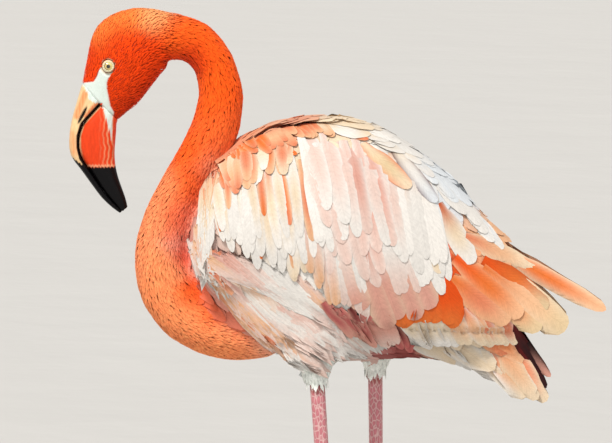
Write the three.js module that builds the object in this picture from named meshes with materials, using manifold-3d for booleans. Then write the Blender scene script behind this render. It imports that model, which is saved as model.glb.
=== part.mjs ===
// American flamingo standing at rest, its neck in a low loop and its bill pointing down.
// Life size, in millimetres: +Z is up, the bird faces -Y and its left side is +X. The origin is on the
// floor, under the middle of the bird's length and width.
//
// Most sub-parts are lofts. A loft's sections are ovals, each hung between a crest point and a keel
// point of the side profile (y, z), with a half-width across the bird. Neighbours are parted by a thin gap.

import * as THREE from "three";
import { mergeVertices } from "three/addons/utils/BufferGeometryUtils.js";
import Module from "manifold-3d";

const wasm = await Module();
wasm.setup();

// ---------------------------------------------------------------- driving dimensions

const GAP = 0.3; // clearance between neighbouring pieces
const FACET = 0.22; // how far the facets may stray from the lofted surface
const NECK_CLEARANCE = 1.2; // room the body leaves round the part of the neck that lies against it

const EYE_RADIUS = 6.2;
const EYE_CENTRE = { x: 15.6, y: -214.2, z: 809.3 };
const MOUTH_OPENING = 0.5; // the dark line between the mandibles

const HIP_X = 38; // each leg's distance from the middle plane
const LEG_SIDES = 10;

const TOE_HEIGHT = 7; // thickness of a toe at its root
const TOE_NARROWING = 0.42; // share of its width that a toe loses by its tip
const TOE_THINNING = 0.36; // share of its height that a toe loses by its tip
const TOE_SWELL = 0.12; // how far the pads stand out between the joints
const TOE_PADS = 3;
const TOE_SPREAD = THREE.MathUtils.degToRad(31);
const MIDDLE_TOE = { length: 78, radius: 5.8 };
const SIDE_TOE = { length: 66, radius: 5.2 };
const HIND_TOE = { length: 13, radius: 3.2, back: 6, height: 9 };
const WEB = { thickness: 2.2, height: 0.6, reach: 0.93, hollow: 0.9 };
const CLAW = { length: 9, radius: 2.4, height: 2.9, droop: 1.4, taper: 0.72 };

const LEFT = 1;
const RIGHT = -1;

// ---------------------------------------------------------------- finishes

function finish(color, roughness) {
  return () => new THREE.MeshStandardMaterial({ color, roughness, metalness: 0 });
}

const CORAL = finish("#ec5f28", 0.85);
const BLUSH = finish("#f1ddd0", 0.85);
const TANGERINE = finish("#ee8a4c", 0.8);
const BILL_PALE = finish("#f0bd85", 0.4);
const BILL_RED = finish("#e03c1a", 0.4);
const LEG_PINK = finish("#cc8088", 0.6);
const CLAW_DARK = finish("#3a2b2a", 0.45);
const EYE_YELLOW = finish("#ecdf9a", 0.1);

// ---------------------------------------------------------------- shape tools

// Catmull-Rom through a list of numbers, evaluated at t counted in list steps.
function through(values, t) {
  const last = values.length - 1;
  const i = Math.min(Math.floor(t), last - 1);
  const f = t - i;
  const [a, b, c, d] = [-1, 0, 1, 2].map((k) => values[THREE.MathUtils.clamp(i + k, 0, last)]);
  return b + 0.5 * f * (c - a + f * (2 * a - 5 * b + 4 * c - d + f * (3 * (b - c) + d - a)));
}

// More sections between the given ones, each field following a smooth curve.
function refine(stations, steps) {
  const count = (stations.length - 1) * steps;
  const at = (t) => stations[0].map((_, field) => through(stations.map((station) => station[field]), t));
  return Array.from({ length: count + 1 }, (_, k) => at(k / steps));
}

// A closed surface through rings of equal length, its two ends capped.
function skinOver(rings) {
  const sides = rings[0].length;
  const points = rings.flat();
  const index = [];
  for (let r = 0; r + 1 < rings.length; r++) {
    for (let k = 0; k < sides; k++) {
      const a = r * sides + k;
      const b = r * sides + ((k + 1) % sides);
      index.push(a, b, b + sides, a, b + sides, a + sides);
    }
  }
  const cap = (ring, start, turn) => {
    points.push(ring.reduce((sum, p) => sum.add(p), new THREE.Vector3()).divideScalar(sides));
    for (let k = 0; k < sides; k++) {
      const pair = [start + k, start + ((k + 1) % sides)];
      index.push(points.length - 1, pair[turn], pair[1 - turn]);
    }
  };
  cap(rings[0], 0, 1);
  cap(rings.at(-1), (rings.length - 1) * sides, 0);
  const geometry = new THREE.BufferGeometry().setFromPoints(points);
  geometry.setIndex(index);
  return geometry;
}

// The solid inside a geometry, whichever way round its faces were listed.
function solid(geometry) {
  geometry.deleteAttribute("normal");
  geometry.deleteAttribute("uv");
  const merged = mergeVertices(geometry, 1e-3);
  const vertProperties = merged.attributes.position.array;
  const build = (triVerts) => new wasm.Manifold(new wasm.Mesh({ numProp: 3, vertProperties, triVerts }));
  const index = Uint32Array.from(merged.index.array);
  const made = build(index);
  return made.volume() > 0 ? made : build(index.reverse());
}

// One oval section. widest says how far down the widest level lies, and square over 1 makes it boxier.
// x moves the section off the middle plane, and grow swells it all round.
function ovalRing([crestY, crestZ, keelY, keelZ, half], { sides, widest = 0.5, square = 1, x = 0, grow = 0 }) {
  const crest = new THREE.Vector2(crestY, crestZ);
  const keel = new THREE.Vector2(keelY, keelZ);
  const up = crest.clone().sub(keel).normalize();
  crest.addScaledVector(up, grow);
  keel.addScaledVector(up, -grow);
  const middle = crest.clone().lerp(keel, widest);
  const bend = (v) => Math.sign(v) * Math.abs(v) ** (1 / square);
  return Array.from({ length: sides }, (_, k) => {
    const angle = (2 * Math.PI * k) / sides;
    const rise = bend(Math.sin(angle));
    const p = middle.clone().lerp(rise > 0 ? crest : keel, Math.abs(rise));
    return new THREE.Vector3(x + (half + grow) * bend(Math.cos(angle)), p.x, p.y);
  });
}

function loft(stations, { steps = 2, ...shape }) {
  return solid(skinOver(refine(stations, steps).map((station) => ovalRing(station, shape))));
}

// Direction of travel along a path of [y, z, ...] points at one of them.
function headingAt(path, i) {
  const [y0, z0] = path[Math.max(i - 1, 0)];
  const [y1, z1] = path[Math.min(i + 1, path.length - 1)];
  return new THREE.Vector2(y1 - y0, z1 - z0).normalize();
}

// Sections square to a path of [y, z, radius] points, so that a tube keeps its thickness round a bend.
function tubeStations(path) {
  return path.map(([y, z, radius], i) => {
    const heading = headingAt(path, i);
    const side = new THREE.Vector2(-heading.y, heading.x).multiplyScalar(radius);
    return [y - side.x, z - side.y, y + side.x, z + side.y, radius];
  });
}

// A flat-ended prism of a side-profile outline, reaching across the bird from x0 to x1.
function sidePrism(shape, x0, x1) {
  const geometry = new THREE.ExtrudeGeometry(shape, { depth: x1 - x0, bevelEnabled: false });
  geometry.rotateX(Math.PI / 2).rotateZ(Math.PI / 2); // the outline's two axes become y and z
  return solid(geometry.translate(x0, 0, 0));
}

// The part of a solid ahead of a side-profile plane, which lies half a gap beyond a point [y, z].
function ahead(made, [y, z], heading) {
  return made.trimByPlane([0, heading.x, heading.y], heading.x * y + heading.y * z + GAP / 2);
}

// The biggest body of a cut solid; slivers that a cut leaves behind are dropped.
function largest(made) {
  return made.decompose().reduce((a, b) => (a.volume() > b.volume() ? a : b));
}

function meshOf(name, made, material) {
  const { vertProperties, triVerts } = made.simplify(FACET).getMesh();
  const geometry = new THREE.BufferGeometry();
  geometry.setAttribute("position", new THREE.BufferAttribute(vertProperties, 3));
  geometry.setIndex(new THREE.BufferAttribute(triVerts, 1));
  geometry.computeVertexNormals();
  const mesh = new THREE.Mesh(geometry, material());
  mesh.name = name;
  return mesh;
}

// ---------------------------------------------------------------- head and bill

// Rows of crest y, crest z, keel y, keel z and half-width, from the nape to the root of the bill.
const HEAD_STATIONS = [
  [-152.5, 857.3, -154.0, 813.5, 21.3],
  [-172.0, 862.3, -162.5, 804.0, 21.8],
  [-194.5, 862.4, -170.0, 795.0, 22.3],
  [-212.5, 856.5, -176.5, 786.4, 22.4],
  [-225.0, 846.5, -183.0, 778.4, 21.6],
  [-231.5, 833.0, -189.5, 771.4, 19.8],
  [-234.8, 817.0, -196.6, 765.7, 17.2],
  [-237.6, 803.8, -202.6, 760.5, 15.0],
  [-239.7, 791.8, -207.2, 756.6, 13.6],
];
const HEAD_SHAPE = { sides: 20, widest: 0.46 };

// The plane that parts the bill from the face, through the corner of the mouth.
const FACE_POINT = [-223.5, 774.0];
const FACE_HEADING = new THREE.Vector2(-0.735, -0.678);

// Rows of culmen y, z, mouth line y, z, underside y, z, and the half-widths of the two mandibles.
const BILL_STATIONS = [
  [-239.7, 791.6, -222.0, 773.2, -207.3, 756.4, 12.4, 12.6],
  [-244.7, 774.6, -231.6, 763.2, -207.6, 749.8, 12.6, 13.6],
  [-249.7, 756.7, -240.3, 752.2, -207.9, 743.4, 12.6, 14.2],
  [-252.1, 738.8, -243.6, 738.3, -209.0, 731.3, 12.4, 14.0],
  [-250.4, 724.4, -242.0, 726.3, -209.1, 721.8, 11.8, 13.0],
  [-242.0, 712.5, -236.4, 715.8, -208.0, 712.0, 10.6, 11.4],
  [-232.0, 698.6, -228.0, 702.9, -205.3, 701.2, 8.9, 9.6],
  [-221.8, 684.8, -218.3, 688.9, -201.5, 690.9, 7.1, 7.7],
  [-211.4, 674.9, -208.4, 677.6, -198.6, 681.5, 5.2, 5.6],
  [-204.4, 670.0, -202.6, 672.0, -197.4, 675.6, 3.4, 3.6],
];
const UPPER_BILL_SHAPE = { sides: 16, widest: 0.78, square: 1.25 };
const LOWER_BILL_SHAPE = { sides: 18, widest: 0.3, square: 1.2 };

// A mouth-line point moved towards one edge of the bill by half of the mouth's opening.
function lip([mouthY, mouthZ], [edgeY, edgeZ]) {
  const away = new THREE.Vector2(edgeY - mouthY, edgeZ - mouthZ).setLength(MOUTH_OPENING / 2);
  return [mouthY + away.x, mouthZ + away.y];
}

function upperMandible(grow = 0) {
  const rows = BILL_STATIONS.map(([cy, cz, my, mz, , , half]) => [cy, cz, ...lip([my, mz], [cy, cz]), half]);
  return ahead(loft(rows, { ...UPPER_BILL_SHAPE, grow }), FACE_POINT, FACE_HEADING);
}

function lowerMandible() {
  const rows = BILL_STATIONS.map(([, , my, mz, uy, uz, , half]) => [...lip([my, mz], [uy, uz]), uy, uz, half]);
  return ahead(loft(rows, LOWER_BILL_SHAPE), FACE_POINT, FACE_HEADING).subtract(upperMandible(GAP));
}

function eyeball(side, radius = EYE_RADIUS) {
  const ball = new THREE.SphereGeometry(radius, 14, 9);
  ball.rotateZ(Math.PI / 2).translate(side * EYE_CENTRE.x, EYE_CENTRE.y, EYE_CENTRE.z);
  return solid(ball);
}

function head() {
  const whole = loft(HEAD_STATIONS, HEAD_SHAPE);
  const faced = ahead(whole, FACE_POINT, FACE_HEADING.clone().negate());
  const necked = ahead(faced, NECK_PATH[0], headingAt(NECK_PATH, 0).negate());
  const sockets = eyeball(LEFT, EYE_RADIUS + GAP).add(eyeball(RIGHT, EYE_RADIUS + GAP));
  return necked.subtract(sockets);
}

// ---------------------------------------------------------------- neck

// Centre line with its radius, from the nape round the upper arch and the low loop to the breast.
const NECK_PATH = [
  [-152.6, 835.4, 21.9],
  [-132.5, 830.0, 20.4],
  [-115.8, 810.0, 19.3],
  [-109.2, 781.5, 21.2],
  [-113.8, 753.5, 22.6],
  [-126.3, 725.0, 22.8],
  [-142.5, 697.0, 23.0],
  [-156.3, 670.5, 23.6],
  [-164.5, 644.5, 24.6],
  [-164.8, 620.0, 26.4],
  [-157.5, 596.0, 28.2],
  [-143.0, 577.5, 29.2],
  [-122.0, 566.0, 30.0],
  [-96.0, 561.5, 31.0],
  [-66.0, 566.0, 32.0],
];
const NECK_SIDES = 16;

// Each length of the neck runs between two points of the path.
const NECK_LENGTHS = { neck_arch: [0, 3], neck_upper: [3, 7], neck_lower: [7, 11], neck_base: [11, 14] };

function neckLoft(first, last, grow = 0) {
  return loft(tubeStations(NECK_PATH).slice(first, last + 1), { sides: NECK_SIDES, grow });
}

// One length, cut square to the path at both ends; the last one runs on into the breast.
function neckLength(first, last) {
  const started = ahead(neckLoft(first, last), NECK_PATH[first], headingAt(NECK_PATH, first));
  if (last === NECK_PATH.length - 1) return largest(started.subtract(trunkLoft(GAP)).subtract(wingPair(GAP)));
  return ahead(started, NECK_PATH[last], headingAt(NECK_PATH, last).negate());
}

// The neck above its base, which the wings and the trunk are hollowed to leave room for.
function neckRoom() {
  return neckLoft(0, NECK_LENGTHS.neck_base[0], NECK_CLEARANCE);
}

// ---------------------------------------------------------------- trunk and tail

// Upright sections from the breast to the rump, above the root of the tail.
const TRUNK_STATIONS = [
  [-137.0, 646.0, -137.0, 624.0, 12],
  [-133.0, 668.0, -133.0, 611.0, 33],
  [-123.5, 691.0, -123.5, 598.5, 49],
  [-108.0, 716.0, -108.0, 578.5, 61],
  [-87.0, 735.0, -87.0, 555.5, 70],
  [-59.0, 747.5, -59.0, 538.5, 75.5],
  [-26.0, 753.2, -26.0, 531.0, 78],
  [7.0, 753.0, 7.0, 533.0, 77],
  [40.0, 742.5, 40.0, 535.0, 71],
  [72.0, 723.5, 72.0, 536.5, 61],
  [101.0, 693.0, 100.0, 532.5, 49],
  [124.0, 655.0, 122.0, 530.0, 38],
  [146.0, 624.0, 140.0, 540.0, 29],
  [163.0, 599.0, 156.0, 556.0, 16],
];
const TRUNK_SHAPE = { sides: 22, steps: 1, widest: 0.44, square: 1.04 };

// Sections square to the tail's slope, from under the rump to the feathers' tips.
const TAIL_STATIONS = [
  [112.0, 598.0, 92.0, 540.0, 33],
  [136.0, 583.0, 112.0, 529.0, 34],
  [157.0, 563.0, 138.0, 519.0, 33],
  [174.0, 540.5, 158.0, 506.0, 31],
  [187.5, 516.5, 173.0, 496.0, 27],
  [196.5, 498.5, 184.0, 491.5, 21],
];
const TAIL_SHAPE = { sides: 16, steps: 1, widest: 0.62, square: 1.1 };

function trunkLoft(grow = 0) {
  return loft(TRUNK_STATIONS, { ...TRUNK_SHAPE, grow });
}

function trunk() {
  return largest(trunkLoft().subtract(wingPair(GAP)).subtract(neckRoom()));
}

function tail() {
  return largest(loft(TAIL_STATIONS, TAIL_SHAPE).subtract(trunkLoft(GAP)).subtract(wingPair(GAP)));
}

// ---------------------------------------------------------------- wings

// A folded wing is an arched band over the flank. Rows of y, top edge z, bottom edge z, half-width,
// angles of the top and bottom edges round the arch in degrees, and thickness.
const WING_STATIONS = [
  [-139.5, 654.0, 632.0, 47, 30, -8, 8],
  [-134.5, 675.0, 622.0, 57, 42, -12, 14],
  [-123.5, 700.0, 618.5, 65, 50, -16, 18],
  [-108.0, 721.5, 617.0, 71, 57, -20, 20],
  [-87.0, 738.0, 613.0, 77.5, 64, -24, 20],
  [-59.0, 750.5, 606.0, 82.5, 72, -28, 19],
  [-26.0, 754.6, 596.0, 85, 77, -31, 18],
  [7.0, 754.0, 583.0, 84, 79, -33, 16],
  [40.0, 743.5, 573.0, 79.5, 80, -32, 14],
  [72.0, 725.0, 570.0, 72, 81, -28, 12],
  [105.0, 700.0, 568.0, 63, 82, -22, 10],
  [134.0, 671.0, 566.0, 54, 82, -15, 8.5],
  [162.0, 646.0, 563.5, 44.5, 82, -9, 7],
  [190.0, 621.5, 562.0, 35, 82, -5, 5.5],
  [216.0, 602.0, 563.0, 26, 80, -3, 4.5],
  [238.0, 588.5, 569.0, 18, 78, 0, 3.6],
  [252.5, 581.0, 576.0, 12, 76, 4, 3],
];
const WING_ARC_STEPS = 9;
const WING_PARTING_Y = 96; // the arm and its coverts end here and the long rear feathers begin

// Long rear feathers that set the folded wing's outline, and the length of the curve at each one's tip.
const REAR_FEATHERS = [
  { root: [60, 686], tip: [252.2, 579.6], width: 44, tipLength: 86 },
  { root: [60, 640], tip: [216.0, 570.5], width: 50, tipLength: 34 },
  { root: [60, 612], tip: [166.5, 565.0], width: 60, tipLength: 40 },
  { root: [60, 700], tip: [190.0, 612.0], width: 78, tipLength: 60 },
];
const REAR_REACH = 120; // farther out than any part of the wing

function wingRing([y, top, bottom, half, topDegrees, bottomDegrees, thickness], side, grow) {
  const [topAngle, bottomAngle] = [topDegrees, bottomDegrees].map(THREE.MathUtils.degToRad);
  const rise = (top - bottom) / (Math.sin(topAngle) - Math.sin(bottomAngle));
  const centre = top - rise * Math.sin(topAngle);
  const [high, low] = [topAngle + grow / rise, bottomAngle - grow / rise];
  const arc = (inset, from, to) =>
    Array.from({ length: WING_ARC_STEPS + 1 }, (_, k) => {
      const angle = THREE.MathUtils.lerp(from, to, k / WING_ARC_STEPS);
      const x = side * (half - inset) * Math.cos(angle);
      return new THREE.Vector3(x, y, centre + (rise - inset) * Math.sin(angle));
    });
  return [...arc(-grow, high, low), ...arc(thickness + grow, low, high)];
}

function wingBand(side, grow = 0) {
  return solid(skinOver(WING_STATIONS.map((station) => wingRing(station, side, grow))));
}

function wingPair(grow) {
  return wingBand(LEFT, grow).add(wingBand(RIGHT, grow));
}

// A feather's outline in side profile: straight-sided, its tip a curve of the given length.
function featherOutline({ root, tip, width, tipLength }) {
  const start = new THREE.Vector2(...root);
  const along = new THREE.Vector2(...tip).sub(start);
  const length = along.length();
  const shape = new THREE.Shape();
  shape.moveTo(0, -width / 2);
  shape.lineTo(length - tipLength, -width / 2);
  shape.quadraticCurveTo(length, -width / 2, length, 0);
  shape.quadraticCurveTo(length, width / 2, length - tipLength, width / 2);
  shape.lineTo(0, width / 2);
  const turned = shape.getPoints(6).map((p) => p.rotateAround(new THREE.Vector2(), along.angle()));
  return new THREE.Shape(turned.map((p) => p.add(start)));
}

function rearOutline(side) {
  const [x0, x1] = [0, side * REAR_REACH].sort((a, b) => a - b);
  const prisms = REAR_FEATHERS.map((feather) => sidePrism(featherOutline(feather), x0, x1));
  return prisms.reduce((sum, prism) => sum.add(prism));
}

function wingArm(side) {
  const arm = wingBand(side).trimByPlane([0, -1, 0], GAP / 2 - WING_PARTING_Y);
  return largest(arm.subtract(neckRoom()));
}

function wingTip(side) {
  const rear = wingBand(side).trimByPlane([0, 1, 0], GAP / 2 + WING_PARTING_Y);
  return largest(rear.intersect(rearOutline(side)));
}

// ---------------------------------------------------------------- legs and feet

// Rows of y, z, fore-and-aft radius and sideways radius, from the body down to the foot.
const LEFT_LEG = {
  side: LEFT,
  thigh: [
    [-21.0, 574.0, 30.0, 25.0],
    [-21.0, 544.0, 23.5, 20.0],
    [-20.8, 528.0, 16.6, 15.5],
    [-20.9, 517.0, 13.6, 13.4],
    [-20.8, 511.6, 11.4, 11.6],
  ],
  shin: [
    [-20.8, 511.2, 7.5, 6.8],
    [-15.0, 440.0, 6.9, 6.2],
    [-8.6, 362.0, 6.6, 5.9],
    [-6.6, 342.0, 8.0, 6.8],
  ],
  ankle: [
    [-6.6, 341.6, 8.1, 6.9],
    [-5.0, 331.0, 11.4, 9.0],
    [-3.9, 319.0, 12.2, 9.6],
    [-4.3, 306.0, 10.2, 8.2],
    [-5.0, 296.0, 7.6, 6.6],
  ],
  shank: [
    [-5.0, 295.6, 7.5, 6.5],
    [-6.4, 262.0, 5.9, 5.1],
    [-10.0, 150.0, 5.5, 4.8],
    [-13.2, 40.0, 6.0, 5.3],
    [-14.4, 17.0, 7.6, 6.6],
  ],
  foot: { y: -14.4, yaw: 4 },
};
const RIGHT_LEG = {
  side: RIGHT,
  thigh: [
    [37.0, 572.0, 27.0, 24.0],
    [37.0, 545.0, 22.0, 20.0],
    [36.8, 528.0, 15.8, 15.2],
    [36.0, 519.0, 12.6, 13.0],
    [35.8, 514.6, 10.8, 11.2],
  ],
  shin: [
    [35.6, 514.2, 7.4, 6.8],
    [36.4, 442.0, 6.8, 6.2],
    [37.6, 366.0, 6.6, 5.9],
    [38.4, 345.0, 8.0, 6.8],
  ],
  ankle: [
    [38.4, 344.6, 8.1, 6.9],
    [39.4, 334.0, 11.4, 9.0],
    [39.7, 322.0, 12.2, 9.6],
    [38.0, 309.0, 10.2, 8.2],
    [36.6, 299.0, 7.6, 6.6],
  ],
  shank: [
    [36.6, 298.6, 7.5, 6.5],
    [34.4, 265.0, 5.9, 5.1],
    [30.0, 151.0, 5.5, 4.8],
    [26.2, 40.0, 6.0, 5.3],
    [25.4, 17.0, 7.6, 6.6],
  ],
  foot: { y: 25.4, yaw: -4 },
};

// Rows of front y, z, rear y, z and half-width where the shank stands on the foot.
const INSTEP_STATIONS = [
  [-9.0, 3.0, 9.0, 3.0, 8.4],
  [-8.6, 11.0, 8.2, 11.0, 7.6],
  [-7.4, 16.7, 7.4, 16.7, 6.5],
];

function legLoft(rows, side, sides = LEG_SIDES) {
  const stations = rows.map(([y, z, deep, wide]) => [y - deep, z, y + deep, z, wide]);
  return loft(stations, { sides, x: side * HIP_X });
}

function thigh({ side, thigh: rows }) {
  return largest(legLoft(rows, side, 16).subtract(trunkLoft(GAP)).subtract(wingPair(GAP)));
}

// A toe lying on the floor: flat beneath, round above, tapering from its root at the origin to its tip.
function toe({ length, radius }, angle) {
  const rows = 5;
  const rings = Array.from({ length: rows + 1 }, (_, r) => {
    const t = r / rows;
    const swell = 1 + TOE_SWELL * Math.cos(2 * Math.PI * TOE_PADS * t);
    const wide = radius * (1 - TOE_NARROWING * t) * swell;
    const high = TOE_HEIGHT * (1 - TOE_THINNING * t);
    return Array.from({ length: 8 }, (_, k) => {
      const turn = (2 * Math.PI * k) / 8;
      const z = Math.max(0, high * (0.4 + 0.6 * Math.sin(turn)));
      return new THREE.Vector3(wide * Math.cos(turn), -t * length, z);
    });
  });
  return solid(skinOver(rings).rotateZ(angle));
}

// The web: a thin plate between the toes whose free edges curve in between the claws.
function web() {
  const tips = [[SIDE_TOE, -TOE_SPREAD], [MIDDLE_TOE, 0], [SIDE_TOE, TOE_SPREAD]].map(([{ length }, angle]) =>
    new THREE.Vector2(0, -length * WEB.reach).rotateAround(new THREE.Vector2(), angle));
  const shape = new THREE.Shape();
  shape.moveTo(0, 0);
  shape.lineTo(tips[0].x, tips[0].y);
  for (const [from, to] of [[tips[0], tips[1]], [tips[1], tips[2]]]) {
    const hollow = from.clone().lerp(to, 0.5).multiplyScalar(WEB.hollow);
    shape.quadraticCurveTo(hollow.x, hollow.y, to.x, to.y);
  }
  const plate = new THREE.ExtrudeGeometry(shape, { depth: WEB.thickness, bevelEnabled: false, curveSegments: 5 });
  return solid(plate.translate(0, 0, WEB.height));
}

// The front toes of one side, each with the angle it points at.
function frontToes(side) {
  return {
    outer: [SIDE_TOE, side * TOE_SPREAD],
    middle: [MIDDLE_TOE, 0],
    inner: [SIDE_TOE, -side * TOE_SPREAD],
  };
}

function foot({ side }) {
  const hind = toe(HIND_TOE, Math.PI).translate([0, HIND_TOE.back, HIND_TOE.height]);
  const base = web().add(loft(INSTEP_STATIONS, { sides: LEG_SIDES })).add(hind);
  return Object.values(frontToes(side)).reduce((sum, [size, angle]) => sum.add(toe(size, angle)), base);
}

// A curved claw just ahead of a toe's blunt tip.
function claw({ length }, angle) {
  const rings = [0, 0.35, 0.7, 1].map((t) => {
    const size = CLAW.radius * (1 - CLAW.taper * t);
    return Array.from({ length: 8 }, (_, k) => {
      const turn = (2 * Math.PI * k) / 8;
      const z = CLAW.height - CLAW.droop * t * t + size * Math.sin(turn);
      return new THREE.Vector3(size * Math.cos(turn), -(length + GAP + t * CLAW.length), z);
    });
  });
  return solid(skinOver(rings).rotateZ(angle));
}

function placed(made, { side, foot: { y, yaw } }) {
  return made.rotate([0, 0, yaw]).translate([side * HIP_X, y, 0]);
}

// ---------------------------------------------------------------- assembly

const flamingo = new THREE.Group();
flamingo.name = "flamingo";

function add(name, made, material) {
  flamingo.add(meshOf(name, made, material));
}

add("head", head(), CORAL);
add("bill_upper", upperMandible(), BILL_PALE);
add("bill_lower", lowerMandible(), BILL_RED);
for (const [name, [first, last]] of Object.entries(NECK_LENGTHS)) add(name, neckLength(first, last), CORAL);
add("trunk", trunk(), BLUSH);
add("tail", tail(), TANGERINE);

for (const [name, leg] of Object.entries({ left: LEFT_LEG, right: RIGHT_LEG })) {
  add(`eye_${name}`, eyeball(leg.side), EYE_YELLOW);
  add(`wing_${name}`, wingArm(leg.side), BLUSH);
  add(`wing_tip_${name}`, wingTip(leg.side), TANGERINE);
  add(`thigh_${name}`, thigh(leg), BLUSH);
  add(`shin_${name}`, legLoft(leg.shin, leg.side), LEG_PINK);
  add(`ankle_${name}`, legLoft(leg.ankle, leg.side), LEG_PINK);
  add(`shank_${name}`, legLoft(leg.shank, leg.side), LEG_PINK);
  add(`foot_${name}`, placed(foot(leg), leg), LEG_PINK);
  for (const [which, [size, angle]] of Object.entries(frontToes(leg.side)))
    add(`claw_${which}_${name}`, placed(claw(size, angle), leg), CLAW_DARK);
}

export default flamingo;
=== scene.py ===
"""A life-size American flamingo at rest: one skin, a horn bill, two eyes and a coat of solid feathers."""
import logging
import math
from collections.abc import Callable, Iterable, Sequence
from dataclasses import dataclass
from enum import Enum

import bmesh
import bpy
import numpy as np
from mathutils.bvhtree import BVHTree
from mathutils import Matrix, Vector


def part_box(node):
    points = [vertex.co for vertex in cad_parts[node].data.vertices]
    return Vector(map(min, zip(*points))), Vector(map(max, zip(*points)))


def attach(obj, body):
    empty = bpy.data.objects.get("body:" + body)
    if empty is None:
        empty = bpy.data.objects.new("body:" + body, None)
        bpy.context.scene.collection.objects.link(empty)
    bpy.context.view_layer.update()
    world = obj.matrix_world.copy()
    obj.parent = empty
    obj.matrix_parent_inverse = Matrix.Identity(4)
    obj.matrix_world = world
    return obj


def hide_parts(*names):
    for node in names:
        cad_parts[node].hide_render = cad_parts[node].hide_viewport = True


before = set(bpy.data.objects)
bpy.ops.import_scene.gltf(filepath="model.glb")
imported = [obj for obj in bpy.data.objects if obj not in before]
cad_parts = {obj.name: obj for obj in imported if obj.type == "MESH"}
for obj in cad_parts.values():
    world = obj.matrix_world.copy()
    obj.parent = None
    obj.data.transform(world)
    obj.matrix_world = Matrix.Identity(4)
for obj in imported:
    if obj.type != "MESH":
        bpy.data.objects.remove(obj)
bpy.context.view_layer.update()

LOG = logging.getLogger("flamingo")
MM = 0.001
BODY = "root"
SIDES = {"left": 1.0, "right": -1.0}
# The width of one feather's share of the bake map, whose whole width is 1.
BAKE_PATCH = 0.003
Spot = tuple[float, float]


class Hue(Enum):
    """The bird's colours, as sRGB hex codes."""

    CROWN = "#F57A34"
    # painted light: a paler orange for the top of the nape, where the light falls.
    NAPE_HIGHLIGHT = "#F7A468"
    CHEEK = "#E8420A"
    # painted shade: a deeper red for the throat and the underside of the neck's arch, where shade falls.
    RUSSET_SHADE = "#CC360C"
    CORAL = "#F65A16"
    NECK_TOP = "#EE5A18"
    # painted light: a paler orange for the lit front edge of the neck; the same hue also marks the neck's
    # base.
    NECK_PALE = "#F98E5C"
    LOOP = "#F98E58"
    SALMON = "#EE8A62"
    ORANGE = "#F07A34"
    VIVID = "#F2560F"
    # burnt orange: the own colour of some feathers' roots; round the eyeball and along one wing feather's
    # edge it is painted shade.
    BURNT = "#C8561E"
    PEACH = "#F6BE92"
    CREAM = "#F5DEBE"
    SAND = "#E9CFA4"
    WHITE = "#F6F1EA"
    COOL_WHITE = "#E9EEF2"
    BLUSH = "#F2D3C6"
    PINK = "#E7A896"
    ROSE = "#CE6A66"
    # maroon: the primaries' own colour; low on the body, in the wing's lowest row and on the eye it is
    # painted shade.
    MAROON = "#5E1210"
    DUSK = "#2A0C0E"
    DOWN = "#EFF3EC"
    LORE = "#DCE8E0"
    HORN = "#F3CC98"
    HORN_PINK = "#EE8A52"
    BILL_RED = "#E8451C"
    BLACK = "#0B0A0C"
    LEG = "#CC7C84"
    LEG_DARK = "#B0605E"
    LEG_PALE = "#EFC9C4"
    IRIS = "#E8D68A"
    LID = "#F2E8C0"
    CLAW = "#3A2A28"
    FLOOR = "#C9C8C5"

    @property
    def rgb(self) -> np.ndarray:
        """The colour in linear light."""
        return linear(self.value)


def linear(code: str) -> np.ndarray:
    """Turns an sRGB hex code into linear red, green and blue."""
    srgb = np.array([int(code[i:i + 2], 16) for i in (1, 3, 5)]) / 255.0
    return np.where(srgb <= 0.04045, srgb / 12.92, ((srgb + 0.055) / 1.055) ** 2.4)


def rgba(hue: Hue) -> tuple[float, float, float, float]:
    """Gives a hue as the four numbers that a shader's colour socket takes."""
    return (*(float(v) for v in hue.rgb), 1.0)


def unit(vectors: np.ndarray) -> np.ndarray:
    """Scales vectors to a length of one."""
    return vectors / np.maximum(np.linalg.norm(vectors, axis=-1, keepdims=True), 1e-12)


def smooth(x: np.ndarray) -> np.ndarray:
    """Eases a ramp from 0 to 1 at both of its ends."""
    x = np.clip(x, 0.0, 1.0)
    return x * x * (3.0 - 2.0 * x)


def follow(stops: Sequence[Spot], u: np.ndarray) -> np.ndarray:
    """Walks a chain of side-view stops.

    Args:
        stops: the stops' y and z in millimetres.
        u: how far along the chain, from 0 to 1, each stop counting alike.

    Returns:
        The places in metres, one row for each u.
    """
    table = np.array(stops, float) * MM
    at = np.linspace(0.0, 1.0, len(table))
    return np.stack([np.interp(u, at, table[:, i]) for i in range(table.shape[1])], axis=-1)


def capsule(yz: np.ndarray, a: Spot, b: Spot) -> np.ndarray:
    """Measures how far side-view points lie from the line between a and b, in millimetres."""
    p, start, run = yz / MM, np.array(a, float), np.array(b, float) - np.array(a, float)
    t = np.clip(((p - start) @ run) / (run @ run), 0.0, 1.0)
    return np.linalg.norm(p - start - t[..., None] * run, axis=-1)


# ---------------------------------------------------------------- meshes


def add_node(tree: bpy.types.NodeTree, kind: str, inputs: dict | None = None, **settings) -> bpy.types.Node:
    """Adds a node with its settings and links.

    Args:
        tree: the node tree it goes into.
        kind: the node's type name.
        inputs: for an input's name or number, a value or the output socket that feeds it.
        settings: the node's own properties.

    Returns:
        The new node.
    """
    made = tree.nodes.new(kind)
    for name, value in settings.items():
        setattr(made, name, value)
    for name, value in (inputs or {}).items():
        if isinstance(value, bpy.types.NodeSocket):
            tree.links.new(value, made.inputs[name])
        else:
            made.inputs[name].default_value = value
    return made


def link_object(name: str, mesh: bpy.types.Mesh) -> bpy.types.Object:
    """Puts a mesh into the scene as an object at the origin."""
    made = bpy.data.objects.new(name, mesh)
    bpy.context.scene.collection.objects.link(made)
    return made


def discard(obj: bpy.types.Object) -> None:
    """Takes a helper object and its mesh out of the file."""
    mesh = obj.data
    bpy.data.objects.remove(obj)
    bpy.data.meshes.remove(mesh)


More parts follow.
